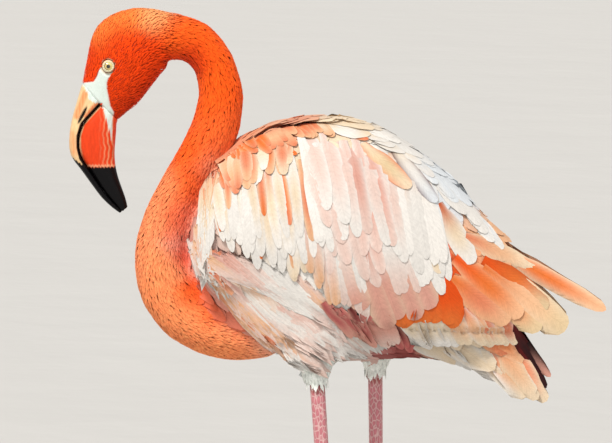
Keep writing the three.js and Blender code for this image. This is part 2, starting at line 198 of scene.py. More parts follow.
def places_of(mesh: bpy.types.Mesh) -> np.ndarray:
    """Reads a mesh's vertices as rows of x, y and z."""
    flat = np.empty(len(mesh.vertices) * 3)
    mesh.vertices.foreach_get("co", flat)
    return flat.reshape(-1, 3)


def set_places(mesh: bpy.types.Mesh, places: np.ndarray) -> None:
    """Writes a mesh's vertices."""
    mesh.vertices.foreach_set("co", places.ravel())
    mesh.update()


def normals_of(mesh: bpy.types.Mesh) -> np.ndarray:
    """Reads a mesh's vertex normals."""
    flat = np.empty(len(mesh.vertices) * 3)
    mesh.vertices.foreach_get("normal", flat)
    return flat.reshape(-1, 3)


def triangles_of(mesh: bpy.types.Mesh) -> np.ndarray:
    """Reads the corners of a mesh's triangles, one row for each."""
    mesh.calc_loop_triangles()
    flat = np.empty(len(mesh.loop_triangles) * 3, int)
    mesh.loop_triangles.foreach_get("vertices", flat)
    return flat.reshape(-1, 3)


def new_mesh(name: str, places: np.ndarray, faces: Iterable[np.ndarray]) -> bpy.types.Mesh:
    """Makes a smooth mesh from arrays.

    Args:
        name: the mesh's name.
        places: its vertices.
        faces: blocks of faces, each block's rows as long as its faces have corners.

    Returns:
        The mesh.
    """
    blocks = [np.asarray(block, int) for block in faces if len(block)]
    corners = np.concatenate([block.ravel() for block in blocks])
    sizes = np.concatenate([np.full(len(block), block.shape[1]) for block in blocks])
    mesh = bpy.data.meshes.new(name)
    mesh.vertices.add(len(places))
    mesh.vertices.foreach_set("co", places.ravel())
    mesh.loops.add(len(corners))
    mesh.loops.foreach_set("vertex_index", corners)
    mesh.polygons.add(len(sizes))
    mesh.polygons.foreach_set("loop_start", np.concatenate([[0], np.cumsum(sizes)[:-1]]))
    mesh.update(calc_edges=True)
    mesh.shade_smooth()
    return mesh


def ease_normals(mesh: bpy.types.Mesh, normals: np.ndarray, blocks: Sequence[np.ndarray],
                 signs: Sequence[Sequence[float]]) -> None:
    """Makes a coat shade like one soft surface.

    Args:
        mesh: the coat.
        normals: for each vertex, the way its outer side faces.
        blocks: the mesh's blocks of faces.
        signs: for each block, one feather's faces in turn: 1 on the outer side and -1 underneath.
    """
    corners = []
    for block, sign in zip(blocks, signs):
        turn = np.resize(np.array(sign, float), len(block))
        corners.append((normals[block] * turn[:, None, None]).reshape(-1, 3))
    mesh.normals_split_custom_set(np.concatenate(corners).tolist())


def copy_nodes(names: Sequence[str], name: str) -> bpy.types.Object:
    """Joins merged copies of frame nodes into one helper object.

    Args:
        names: the nodes.
        name: the helper's name.

    Returns:
        The helper, whose shells are closed.
    """
    shell = bmesh.new()
    for node in names:
        shell.from_mesh(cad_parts[node].data)
    bmesh.ops.remove_doubles(shell, verts=shell.verts, dist=0.02 * MM)
    mesh = bpy.data.meshes.new(name)
    shell.to_mesh(mesh)
    shell.free()
    return link_object(name, mesh)


def apply_modifiers(obj: bpy.types.Object) -> None:
    """Bakes an object's modifiers into its mesh and removes them."""
    graph = bpy.context.evaluated_depsgraph_get()
    made = bpy.data.meshes.new_from_object(obj.evaluated_get(graph))
    old = obj.data
    obj.modifiers.clear()
    obj.data = made
    bpy.data.meshes.remove(old)


def remesh(obj: bpy.types.Object, voxel: float) -> None:
    """Turns an object's shells into one even closed surface of faces about voxel across."""
    change = obj.modifiers.new("Even", "REMESH")
    change.mode = "VOXEL"
    change.voxel_size = voxel
    apply_modifiers(obj)


def cut_finer(mesh: bpy.types.Mesh, inside: Callable[[Sequence[float]], bool]) -> None:
    """Halves the edges whose two ends both pass a test.

    Args:
        mesh: the mesh.
        inside: tells whether a place passes.
    """
    shape = bmesh.new()
    shape.from_mesh(mesh)
    edges = [edge for edge in shape.edges if all(inside(vert.co) for vert in edge.verts)]
    bmesh.ops.subdivide_edges(shape, edges=edges, cuts=1, use_grid_fill=True)
    bmesh.ops.triangulate(shape, faces=[face for face in shape.faces if len(face.verts) > 4])
    shape.to_mesh(mesh)
    shape.free()


class Net:
    """A mesh's edges, used to spread values over its surface."""

    def __init__(self, mesh: bpy.types.Mesh) -> None:
        """Reads the edges of a mesh."""
        flat = np.empty(len(mesh.edges) * 2, int)
        mesh.edges.foreach_get("vertices", flat)
        self.a, self.b = flat.reshape(-1, 2).T
        self.count = len(mesh.vertices)
        self.degree = np.bincount(self.a, minlength=self.count) + np.bincount(self.b, minlength=self.count)

    def mean(self, values: np.ndarray) -> np.ndarray:
        """Gives each vertex the mean of its neighbours' values."""
        columns = values.reshape(self.count, -1)
        out = np.empty_like(columns, dtype=float)
        for i in range(columns.shape[1]):
            one = columns[:, i]
            total = np.bincount(self.a, one[self.b], self.count)
            total = total + np.bincount(self.b, one[self.a], self.count)
            out[:, i] = total / np.maximum(self.degree, 1)
        return out.reshape(values.shape)

    def relax(self, values: np.ndarray, passes: int, keep: float = 0.0) -> np.ndarray:
        """Spreads values over the surface.

        Args:
            values: one value or row for each vertex.
            passes: how many times it is done.
            keep: how much of the loss each pass gives back, near 1 for shapes that shouldn't shrink.

        Returns:
            The eased values.
        """
        for _ in range(passes):
            values = values + 0.5 * (self.mean(values) - values)
            if keep:
                values = values - 0.5 * keep * (self.mean(values) - values)
        return values


def ease_shape(mesh: bpy.types.Mesh, passes: int, keep: float) -> None:
    """Smooths a mesh's shape, giving back most of what that takes away."""
    set_places(mesh, Net(mesh).relax(places_of(mesh), passes, keep=keep))


class Ground:
    """A closed surface that feathers are laid on."""

    def __init__(self, mesh: bpy.types.Mesh) -> None:
        """Reads the mesh and sorts its triangles for looking up."""
        self.faces = triangles_of(mesh)
        self.places = places_of(mesh)
        self.normals = normals_of(mesh)
        self.tree = BVHTree.FromPolygons(self.places.tolist(), self.faces.tolist())

    def slope(self, places: np.ndarray, faces: np.ndarray) -> np.ndarray:
        """Blends the normals of the corners of the faces under some places."""
        corners = self.faces[faces]
        near = 1.0 / (np.linalg.norm(self.places[corners] - places[:, None], axis=2) + 1e-6)
        return unit((self.normals[corners] * near[..., None]).sum(axis=1))

    def drop(self, points: np.ndarray) -> tuple[np.ndarray, np.ndarray]:
        """Moves points to the nearest places on the surface.

        Args:
            points: places, in an array of any shape that ends in x, y and z.

        Returns:
            The places on the surface and the surface's normals there.
        """
        flat = points.reshape(-1, 3)
        hits = [self.tree.find_nearest(p) for p in flat.tolist()]
        places = np.array([tuple(hit[0]) for hit in hits])
        ups = self.slope(places, np.array([hit[2] for hit in hits]))
        return places.reshape(points.shape), ups.reshape(points.shape)

    def from_side(self, yz: np.ndarray, side: float) -> tuple[np.ndarray, np.ndarray]:
        """Carries side-view places across to the surface.

        Args:
            yz: side-view places.
            side: 1 for the bird's left and -1 for its right.

        Returns:
            The places on that flank and the normals there; behind the body a place past the outline keeps
            its y and z.
        """
        flat = yz.reshape(-1, 2)
        places, faces = np.empty((len(flat), 3)), np.empty(len(flat), int)
        past = np.zeros(len(flat), bool)
        for i, (y, z) in enumerate(flat.tolist()):
            place, _, face, _ = self.tree.ray_cast((side * 0.4, y, z), (-side, 0.0, 0.0), 0.8)
            if place is None or place[0] * side < 0.0:
                out = 0.04 if y < -0.09 and z < 0.72 else 0.012
                place, _, face, _ = self.tree.find_nearest((side * out, y, z))
                past[i] = y > 0.12 and math.hypot(place[1] - y, place[2] - z) > 1.5 * MM
                place = (place[0], y, z) if past[i] else place
            places[i], faces[i] = tuple(place), face
        rear = np.maximum(past, smooth((flat[:, 0] - 0.12) / 0.05))[:, None]
        ups = unit(self.slope(places, faces) * (1 - rear) + unit(np.array([side, 0.0, 0.35])) * rear)
        return places.reshape(*yz.shape[:-1], 3), ups.reshape(*yz.shape[:-1], 3)


def scatter(mesh: bpy.types.Mesh, wanted: np.ndarray, spacing: float, seed: int) -> np.ndarray:
    """Spreads points evenly over part of a surface, none nearer another than a given spacing.

    Args:
        mesh: the surface.
        wanted: for each vertex, whether the part takes it in.
        spacing: the least distance between points.
        seed: picks the arrangement.

    Returns:
        The points.
    """
    rng = np.random.default_rng(seed)
    faces = triangles_of(mesh)
    faces = faces[wanted[faces].mean(axis=1) > 0.5]
    corners = places_of(mesh)[faces]
    area = np.linalg.norm(np.cross(corners[:, 1] - corners[:, 0], corners[:, 2] - corners[:, 0]), axis=1) / 2
    tries = int(7.0 * area.sum() / spacing**2)
    picked = rng.choice(len(faces), tries, p=area / area.sum())
    r, s = np.sqrt(rng.random(tries)), rng.random(tries)
    weight = np.stack([1 - r, r * (1 - s), r * s], axis=1)
    points = (corners[picked] * weight[..., None]).sum(axis=1)
    taken: dict[tuple[int, int, int], list[tuple[float, float, float]]] = {}
    around = [(i, j, k) for i in (-1, 0, 1) for j in (-1, 0, 1) for k in (-1, 0, 1)]
    kept = []
    cells = np.floor(points / spacing).astype(int).tolist()
    for index, (point, cell) in enumerate(zip(points.tolist(), cells)):
        rivals = (p for i, j, k in around for p in taken.get((cell[0] + i, cell[1] + j, cell[2] + k), ()))
        if all(math.dist(point, rival) >= spacing for rival in rivals):
            taken.setdefault(tuple(cell), []).append(point)
            kept.append(index)
    return points[kept]


# ---------------------------------------------------------------- the bird's plan


NECK_PATH = (
    (-152.6, 835.4), (-132.5, 830.0), (-115.8, 810.0), (-109.2, 781.5), (-113.8, 753.5), (-126.3, 725.0),
    (-142.5, 697.0), (-156.3, 670.5), (-164.5, 644.5), (-164.8, 620.0), (-157.5, 596.0), (-143.0, 577.5),
    (-122.0, 566.0), (-96.0, 561.5), (-66.0, 566.0),
)
BILL_ROOT = (-232.0, 774.0)
EYE = (-214.2, 809.3)
EYE_SIDE = 15.6
EYE_RADIUS = 6.2
MOUTH = (
    (-220.2, 776.2), (-231.7, 763.9), (-239.6, 755.3), (-243.3, 743.7), (-243.3, 732.2), (-241.0, 722.2),
    (-235.9, 713.5), (-227.3, 700.6), (-220.1, 689.0), (-208.6, 676.2), (-202.0, 672.6),
)
NOSTRIL = ((-234.6, 771.0), (-243.2, 754.9))
# Limits in metres: how far back the head and the face reach, and how far down the head and the thighs' tufts.
HEAD_REAR = -0.158
FACE_REAR = -0.196
HEAD_FLOOR = 0.742
CUFF_HEIGHT = 0.517


class NeckLine:
    """The neck's middle line, from the nape down to the breast."""

    def __init__(self) -> None:
        """Rounds the neck's path and measures its length."""
        raw = np.array(NECK_PATH) * MM
        at = np.linspace(0, 1, len(raw))
        fine = np.linspace(0, 1, 400)
        line = np.stack([np.interp(fine, at, raw[:, i]) for i in (0, 1)], axis=1)
        for _ in range(60):
            line[1:-1] = 0.5 * line[1:-1] + 0.25 * (line[:-2] + line[2:])
        self.line = line
        self.heading = unit(np.gradient(line, axis=0))
        steps = np.linalg.norm(np.diff(line, axis=0), axis=1)
        self.run = np.concatenate([[0.0], np.cumsum(steps)])

    def near(self, points: np.ndarray) -> np.ndarray:
        """Gives the number of the line's stop that is nearest each point in side view."""
        out = np.empty(len(points), int)
        for start in range(0, len(points), 4000):
            part = points[start:start + 4000, 1:]
            gaps = ((part[:, None] - self.line[None]) ** 2).sum(axis=2)
            out[start:start + 4000] = gaps.argmin(axis=1)
        return out

    def flow(self, points: np.ndarray) -> np.ndarray:
        """Gives the direction of the line beside each point."""
        heading = self.heading[self.near(points)]
        return np.column_stack([np.zeros(len(points)), heading])


NECK = NeckLine()


@dataclass(frozen=True)
class Mark:
    """One patch of colour in the plumage, seen from the side."""

    y: float
    z: float
    reach: float
    hue: Hue


MARKS = (
    # the pale apricot mark at the back of the crown is painted light.
    Mark(-226, 846, 16, Hue.CROWN), Mark(-200, 860, 16, Hue.CROWN), Mark(-172, 860, 14, Hue.NAPE_HIGHLIGHT),
    Mark(-236, 815, 12, Hue.CHEEK), Mark(-205, 828, 14, Hue.CHEEK), Mark(-203, 795, 16, Hue.CHEEK),
    # the deeper red marks under the head and under the neck's arch are painted shade.
    Mark(-180, 812, 18, Hue.CHEEK), Mark(-190, 778, 14, Hue.RUSSET_SHADE), Mark(-165, 800, 14, Hue.RUSSET_SHADE),
    Mark(-150, 842, 16, Hue.NECK_TOP), Mark(-140, 820, 12, Hue.RUSSET_SHADE), Mark(-118, 832, 16, Hue.CORAL),
    Mark(-104, 790, 18, Hue.CORAL), Mark(-125, 780, 12, Hue.NECK_TOP), Mark(-96, 760, 14, Hue.NECK_TOP),
    Mark(-112, 745, 18, Hue.CORAL), Mark(-138, 735, 12, Hue.CORAL), Mark(-134, 700, 18, Hue.CORAL),
    # painted light: the pale marks down the neck's front edge stand for the light falling on that side.
    Mark(-158, 700, 12, Hue.NECK_PALE), Mark(-172, 668, 13, Hue.NECK_PALE), Mark(-143, 665, 16, Hue.CORAL),
    # painted shade: the small red mark at (-143, 635) darkens the inner side of the neck's loop.
    Mark(-187, 630, 14, Hue.NECK_PALE), Mark(-165, 622, 16, Hue.LOOP), Mark(-143, 635, 10, Hue.CHEEK),
    Mark(-175, 590, 16, Hue.LOOP), Mark(-150, 575, 18, Hue.LOOP), Mark(-140, 600, 12, Hue.CORAL),
    Mark(-120, 585, 14, Hue.CORAL), Mark(-118, 550, 16, Hue.LOOP), Mark(-90, 545, 16, Hue.LOOP),
    Mark(-88, 570, 14, Hue.CORAL), Mark(-62, 545, 14, Hue.NECK_PALE),
    Mark(-120, 650, 24, Hue.BLUSH), Mark(-90, 600, 22, Hue.BLUSH), Mark(-50, 570, 26, Hue.WHITE),
    # partly painted shade: the rose and maroon marks low on the body are the underparts' own deep pink,
    # darkened as painted shade under the belly.
    Mark(-20, 545, 22, Hue.COOL_WHITE), Mark(10, 540, 20, Hue.BLUSH), Mark(38, 558, 18, Hue.ROSE),
    Mark(62, 556, 18, Hue.ROSE), Mark(55, 537, 14, Hue.MAROON), Mark(100, 560, 20, Hue.CREAM),
    Mark(130, 540, 18, Hue.CREAM), Mark(150, 520, 16, Hue.CREAM), Mark(100, 610, 30, Hue.VIVID),
    Mark(0, 640, 50, Hue.WHITE), Mark(-60, 700, 40, Hue.CREAM), Mark(-90, 745, 18, Hue.ORANGE),
    Mark(-50, 757, 16, Hue.SALMON), Mark(0, 757, 20, Hue.CREAM), Mark(50, 742, 20, Hue.WHITE),
    Mark(100, 700, 24, Hue.COOL_WHITE), Mark(135, 645, 20, Hue.PEACH), Mark(180, 600, 20, Hue.ORANGE),
)


def markings(points: np.ndarray) -> np.ndarray:
    """Gives the plumage's colour at each place, the same for the skin and for what grows on it; a few marks
    are painted light and painted shade.

    Args:
        points: rows of x, y and z.

    Returns:
        Linear colours, one row for each place.
    """
    total, weight = np.zeros((len(points), 3)), np.zeros(len(points))
    for mark in MARKS:
        gap = ((points[:, 1] - mark.y * MM) ** 2 + (points[:, 2] - mark.z * MM) ** 2) / (mark.reach * MM) ** 2
        strength = np.exp(-gap) + 1e-5 / (1.0 + gap)
        total += strength[:, None] * mark.hue.rgb
        weight += strength
    return total / weight[:, None]


BARE_FACE = (
    (-213.5, 815.0), (-218.5, 812.8), (-221.8, 807.5), (-223.6, 803.5), (-225.2, 799.0), (-228.0, 794.5),
    (-239.5, 792.2), (-235.0, 785.5), (-232.4, 777.5), (-227.5, 774.5), (-221.0, 774.0), (-219.0, 767.0),
    (-216.3, 757.9), (-213.6, 747.9), (-212.2, 739.1), (-211.3, 753.5), (-209.8, 765.7), (-212.9, 771.2),
    (-214.6, 780.1), (-215.8, 786.7), (-216.0, 793.4), (-214.4, 797.8), (-211.5, 801.7), (-209.0, 806.0),
)


def bareness(points: np.ndarray) -> np.ndarray:
    """Tells how deep inside the bare skin before the eyes each place is, in millimetres."""
    yz = points[:, 1:]
    y, z = yz.T / MM
    loop = list(zip(BARE_FACE, BARE_FACE[1:] + BARE_FACE[:1]))
    gap = np.min([capsule(yz, a, b) for a, b in loop], axis=0)
    inside = np.zeros(len(points), bool)
    for (y0, z0), (y1, z1) in loop:
        inside ^= ((z0 > z) != (z1 > z)) & (y < (y1 - y0) * (z - z0) / (z1 - z0 or 1.0) + y0)
    return np.where(inside, gap, -gap)


@dataclass(frozen=True)
class Grain:
    """The way feathers point at one side-view place, in degrees below the tail's direction."""

    y: float
    z: float
    angle: float


BODY_GRAIN = (
    Grain(-135, 650, 75), Grain(-125, 600, 45), Grain(-80, 560, 25), Grain(-20, 540, 25), Grain(40, 545, 12),
    Grain(100, 555, 22), Grain(150, 545, 36), Grain(150, 600, 36), Grain(-60, 640, 60), Grain(0, 620, 55),
    Grain(60, 620, 50), Grain(-110, 735, -25), Grain(-60, 755, -8), Grain(0, 757, 3), Grain(60, 738, 28),
    Grain(110, 680, 45), Grain(-130, 700, 60),
)


def body_flow(points: np.ndarray) -> np.ndarray:
    """Gives the direction in which the body's feathers lie at each place."""
    near = np.zeros(len(points))
    total = np.zeros((len(points), 2))
    for grain in BODY_GRAIN:
        gap = (points[:, 1] - grain.y * MM) ** 2 + (points[:, 2] - grain.z * MM) ** 2
        strength = 1.0 / (gap + (8 * MM) ** 2) ** 1.5
        turn = math.radians(grain.angle)
        total += strength[:, None] * np.array([math.cos(turn), -math.sin(turn)])
        near += strength
    return np.column_stack([np.zeros(len(points)), total / near[:, None]])


def head_flow(points: np.ndarray) -> np.ndarray:
    """Gives the direction of the head's feathers: back from the bill, then down the neck."""
    away = points - np.array([0.0, *(np.array(BILL_ROOT) + (-12.0, -22.0))]) * np.array([1.0, MM, MM])
    away[:, 0] *= 0.5
    blend = smooth((points[:, 1] + 0.190) / 0.045)[:, None]
    return unit(away) * (1 - blend) + NECK.flow(points) * blend


def down_flow(points: np.ndarray) -> np.ndarray:
    """Gives the direction of the feathers on the thighs: down and a little back."""
    return np.tile([0.0, 0.12, -1.0], (len(points), 1))


def body_unwrap(points: np.ndarray) -> np.ndarray:
    """Unrolls the body: along it, and round it from the keel."""
    centre = np.interp(points[:, 1], [-0.14, 0.0, 0.25], [0.63, 0.64, 0.56])
    round_it = np.arctan2(points[:, 0], centre - points[:, 2]) / (2 * math.pi) + 0.5
    return np.column_stack([0.02 + 0.96 * (points[:, 1] + 0.15) / 0.41, 0.02 + 0.96 * round_it])


def neck_unwrap(points: np.ndarray) -> np.ndarray:
    """Unrolls the neck and head: along their middle line, and round it."""
    at = NECK.near(points)
    across = np.column_stack([-NECK.heading[:, 1], NECK.heading[:, 0]])
    out = ((points[:, 1:] - NECK.line[at]) * across[at]).sum(axis=1)
    along = ((points[:, 1:] - NECK.line[at]) * NECK.heading[at]).sum(axis=1)
    round_it = np.arctan2(points[:, 0], out) / (2 * math.pi) + 0.5
    distance = (NECK.run[at] + np.minimum(along, 0.0) + 0.12) / (NECK.run[-1] + 0.16)
    return np.column_stack([0.02 + 0.96 * np.clip(distance, 0, 1), 0.02 + 0.96 * round_it])


# ---------------------------------------------------------------- finishes


class Nodes:
    """A new material's node tree, with the few steps that every finish takes."""

    def __init__(self, name: str) -> None:
        """Starts the material."""
        self.mat = bpy.data.materials.new(name)
        self.mat.use_nodes = True
        self.tree = self.mat.node_tree

    def add(self, kind: str, inputs: dict | None = None, out: int | str = 0,
            **settings) -> bpy.types.NodeSocket:
        """Adds a node and gives one of its outputs, the first unless another is named."""
        return add_node(self.tree, kind, inputs, **settings).outputs[out]

    def tint(self) -> bpy.types.NodeSocket:
        """Reads the colour stored on the mesh."""
        return self.add("ShaderNodeAttribute", attribute_name="Tint")

    def where(self) -> bpy.types.NodeSocket:
        """Gives the place on the object."""
        return self.add("ShaderNodeTexCoord", out="Object")

    def math(self, operation: str, *values: float | bpy.types.NodeSocket) -> bpy.types.NodeSocket:
        """Works out one sum."""
        return self.add("ShaderNodeMath", dict(enumerate(values)), operation=operation)

    def noise(self, scale: float, detail: float, where: bpy.types.NodeSocket | None = None,
              roughness: float = 0.5) -> bpy.types.NodeSocket:
        """Gives a cloudy value from 0 to 1.

        Args:
            scale: how many clouds there are to a metre, or to a unit of the place given.
            detail: how many finer layers it has.
            where: the place that it is read at, if not the mesh's own.
            roughness: how strong the finer layers are.

        Returns:
            The value's socket.
        """
        inputs = {"Scale": scale, "Detail": detail, "Roughness": roughness}
        if where is not None:
            inputs["Vector"] = where
        return self.add("ShaderNodeTexNoise", inputs)

    def ramp(self, value: bpy.types.NodeSocket, low: float, high: float, start: float = 0.3,
             stop: float = 0.7) -> bpy.types.NodeSocket:
        """Carries a value that runs from start to stop over to the range from low to high."""
        return self.add("ShaderNodeMapRange", {0: value, 1: start, 2: stop, 3: low, 4: high})

    def shade(self, colour: bpy.types.NodeSocket, level: bpy.types.NodeSocket) -> bpy.types.NodeSocket:
        """Makes a colour lighter or darker."""
        return self.add("ShaderNodeVectorMath", {0: colour, "Scale": level}, operation="SCALE")

    def bump(self, height: bpy.types.NodeSocket, strength: float, distance: float) -> bpy.types.NodeSocket:
        """Gives a fine relief to the surface."""
        return self.add("ShaderNodeBump", {"Height": height, "Strength": strength, "Distance": distance})

    def finish(self, sockets: dict[str, float | bpy.types.NodeSocket]) -> bpy.types.Material:
        """Ends the material.

        Args:
            sockets: for each of the shader's inputs, a value to set or the output that feeds it.

        Returns:
            The material.
        """
        shader = self.tree.nodes["Principled BSDF"]
        for name, value in sockets.items():
            if isinstance(value, bpy.types.NodeSocket):
                self.tree.links.new(value, shader.inputs[name])
            else:
                shader.inputs[name].default_value = value
        return self.mat


@dataclass(frozen=True)
class FeatherFinish:
    """Keratin feather vane: matt and silky, with barbs that run out from the shaft.

    The barbs' fine lines give it its grain and the dark or pale shaft shows where it is broad.
    """

    name: str = "Feather_vane"
    barb: float = 0.7 * MM
    streak: float = 0.06
    shaft: float = 0.3 * MM
    level: float = 0.82
    roughness: float = 0.6

    def make(self) -> bpy.types.Material:
        """Builds the material.

        Returns:
            The material; barbs are really 0.4 mm apart and are drawn coarser so that they show.
        """
        nodes = Nodes(self.name)
        vane = nodes.add("ShaderNodeUVMap", uv_map="Vane")
        split = add_node(nodes.tree, "ShaderNodeSeparateXYZ", {0: vane}).outputs
        across = nodes.math("ABSOLUTE", split["X"])
        sweep = nodes.math("MULTIPLY_ADD", across, -1.5, split["Y"])
        side = nodes.math("SIGN", split["X"])
        barbs = nodes.add("ShaderNodeCombineXYZ", {0: across, 1: sweep, 2: side})
        spread = nodes.add("ShaderNodeMapping", {"Vector": barbs, "Scale": (120.0, 0.55 / self.barb, 1.0)})
        lines = nodes.noise(1.0, 3.0, spread, roughness=0.6)
        shade = nodes.ramp(lines, self.level * (1 - 2 * self.streak), self.level * (1 + self.streak))
        cloud = nodes.ramp(nodes.noise(70.0, 4.0), 0.93, 1.05)
        quill = nodes.ramp(across, 0.9, 1.0, start=0.3 * self.shaft, stop=self.shaft)
        level = nodes.math("MULTIPLY", nodes.math("MULTIPLY", shade, cloud), quill)
        return nodes.finish({"Base Color": nodes.shade(nodes.tint(), level),
                             "Normal": nodes.bump(lines, 0.2, 0.2 * MM), "Roughness": self.roughness,
                             "Specular IOR Level": 0.15, "Sheen Weight": 0.05})


@dataclass(frozen=True)
class DownFinish:
    """Short downy plumes: matt, each a little lighter or darker than the next, with a soft sheen."""

    name: str = "Plume_down"
    mottle: float = 5.0 * MM
    strand: float = 0.9 * MM

    def make(self) -> bpy.types.Material:
        """Builds the material.

        Returns:
            The material.
        """
        nodes = Nodes(self.name)
        where = nodes.where()
        shade = nodes.ramp(nodes.noise(1 / self.mottle, 3.0, where), 0.86, 1.1)
        grain = nodes.ramp(nodes.noise(1 / self.strand, 2.0, where), 0.88, 1.08)
        level = nodes.math("MULTIPLY", shade, grain)
        return nodes.finish({"Base Color": nodes.shade(nodes.tint(), level), "Roughness": 0.8,
                             "Specular IOR Level": 0.08, "Sheen Weight": 0.05})


@dataclass(frozen=True)
class SkinFinish:
    """Living skin: soft and finely pored where bare, and set with small pale-edged scales on the legs."""

    name: str = "Skin_scaled"
    scale_width: float = 3.4 * MM
    pore: float = 0.8 * MM

    def make(self) -> bpy.types.Material:
        """Builds the material.

        Returns:
            The material.
        """
        nodes = Nodes(self.name)
        scaled = nodes.add("ShaderNodeAttribute", out="Fac", attribute_name="Scaled")
        where = nodes.where()
        squash = nodes.add("ShaderNodeMapping", {"Vector": where, "Scale": (1.0, 1.0, 0.5)})
        cell = {"Vector": squash, "Scale": 1 / self.scale_width, "Randomness": 0.7}
        edges = nodes.add("ShaderNodeTexVoronoi", cell, out="Distance", feature="DISTANCE_TO_EDGE")
        plates = nodes.add("ShaderNodeTexVoronoi", cell, out="Distance")
        net = nodes.math("MULTIPLY", nodes.ramp(edges, 1.0, 0.0, start=0.02, stop=0.13), scaled)
        pale = nodes.add("ShaderNodeMix", {"Factor": net, 6: nodes.tint(), 7: rgba(Hue.LEG_PALE)}, out=2,
                         data_type="RGBA")
        pores = nodes.noise(1 / self.pore, 3.0, where)
        vary = nodes.ramp(plates, 0.1, -0.18, start=0.0, stop=0.6)
        dome = nodes.math("MULTIPLY_ADD", vary, scaled, 1.0)
        level = nodes.math("MULTIPLY", nodes.ramp(pores, 0.88, 1.06), dome)
        rise = nodes.math("MULTIPLY_ADD", net, -1.2, pores)
        return nodes.finish({"Base Color": nodes.shade(pale, level), "Roughness": 0.5,
                             "Normal": nodes.bump(rise, 0.5, 0.35 * MM), "Specular IOR Level": 0.35})


@dataclass(frozen=True)
class HornFinish:
    """Bill horn: smooth, close-grained keratin with a dull polish and faint growth streaks."""

    name: str = "Bill_horn"
    streak: float = 2.2 * MM
    roughness: float = 0.34

    def make(self) -> bpy.types.Material:
        """Builds the material.

        Returns:
            The material.
        """
        nodes = Nodes(self.name)
        stretch = nodes.add("ShaderNodeMapping", {"Vector": nodes.where(), "Scale": (1.0, 1.0, 0.3)})
        grain = nodes.noise(1 / self.streak, 5.0, stretch, roughness=0.6)
        level = nodes.ramp(grain, 0.84, 1.08)
        rough = nodes.ramp(grain, self.roughness + 0.14, self.roughness)
        return nodes.finish({"Base Color": nodes.shade(nodes.tint(), level), "Roughness": rough,
                             "Normal": nodes.bump(grain, 0.25, 0.3 * MM), "Specular IOR Level": 0.14})


@dataclass(frozen=True)
class EyeFinish:
    """Wet eye: a near-black pupil and a pale, finely rayed iris under a clear glossy film."""

    name: str = "Eye_cornea"

    def make(self) -> bpy.types.Material:
        """Builds the material; the Iris map holds the distance from the pupil's middle and the turn."""
        nodes = Nodes(self.name)
        where = nodes.add("ShaderNodeUVMap", uv_map="Iris")
        rays = nodes.add("ShaderNodeMapping", {"Vector": where, "Scale": (2.0, 60.0, 1.0)})
        level = nodes.ramp(nodes.noise(1.0, 2.0, rays), 0.8, 1.1)
        return nodes.finish({"Base Color": nodes.shade(nodes.tint(), level), "Roughness": 0.25,
                             "Coat Weight": 1.0, "Coat Roughness": 0.02})


@dataclass(frozen=True)
class PlainFinish:
    """Evenly coloured matter with a fine grain, such as claw horn, lid skin or the studio's floor."""

    name: str
    hue: Hue
    roughness: float
    grain: float
    depth: float = 0.1

    def make(self) -> bpy.types.Material:
        """Builds the material.

        Returns:
            The material.
        """
        nodes = Nodes(self.name)
        noise = nodes.noise(1 / self.grain, 4.0, nodes.where())
        dark = tuple(v * (1 - 2 * self.depth) for v in rgba(self.hue)[:3]) + (1.0,)
        blend = nodes.add("ShaderNodeMix", {"Factor": noise, 6: dark, 7: rgba(self.hue)}, out=2,
                          data_type="RGBA")
        return nodes.finish({"Base Color": blend, "Normal": nodes.bump(noise, 0.2, 0.2 * self.grain),
                             "Roughness": self.roughness})


def paint(mesh: bpy.types.Mesh, name: str, colours: np.ndarray) -> None:
    """Stores linear colours on a mesh's vertices under a name."""
    layer = mesh.attributes.new(name, "FLOAT_COLOR", "POINT")
    layer.data.foreach_set("color", np.column_stack([np.clip(colours, 0, 1), np.ones(len(colours))]).ravel())


def map_corners(mesh: bpy.types.Mesh, name: str, uv: np.ndarray) -> None:
    """Stores a UV map from one pair of numbers for each vertex."""
    index = np.empty(len(mesh.loops), int)
    mesh.loops.foreach_get("vertex_index", index)
    mesh.uv_layers.new(name=name).data.foreach_set("uv", uv[index].ravel())


def finish_piece(obj: bpy.types.Object, mat: bpy.types.Material,
                 nodes: Sequence[str] = ()) -> None:
    """Dresses a piece, hangs it on the body and hides the frame nodes that it stands for.

    Args:
        obj: the piece.
        mat: its material.
        nodes: the frame nodes that it stands for.
    """
    obj.data.materials.clear()
    obj.data.materials.append(mat)
    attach(obj, BODY)
    if nodes:
        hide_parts(*nodes)
    LOG.info("%s: %d triangles", obj.name, len(triangles_of(obj.data)))


# ---------------------------------------------------------------- skin


NECK_NODES = ("neck_arch", "neck_upper", "neck_lower", "neck_base")
LEG_PARTS = ("shin", "ankle", "shank", "foot")
COAT_DEPTH = {"head": 1.6, "neck_arch": 2.4, "neck_upper": 2.6, "neck_lower": 2.8, "neck_base": 3.0,
              "trunk": 5.0, "wing": 5.0, "thigh": 4.5}


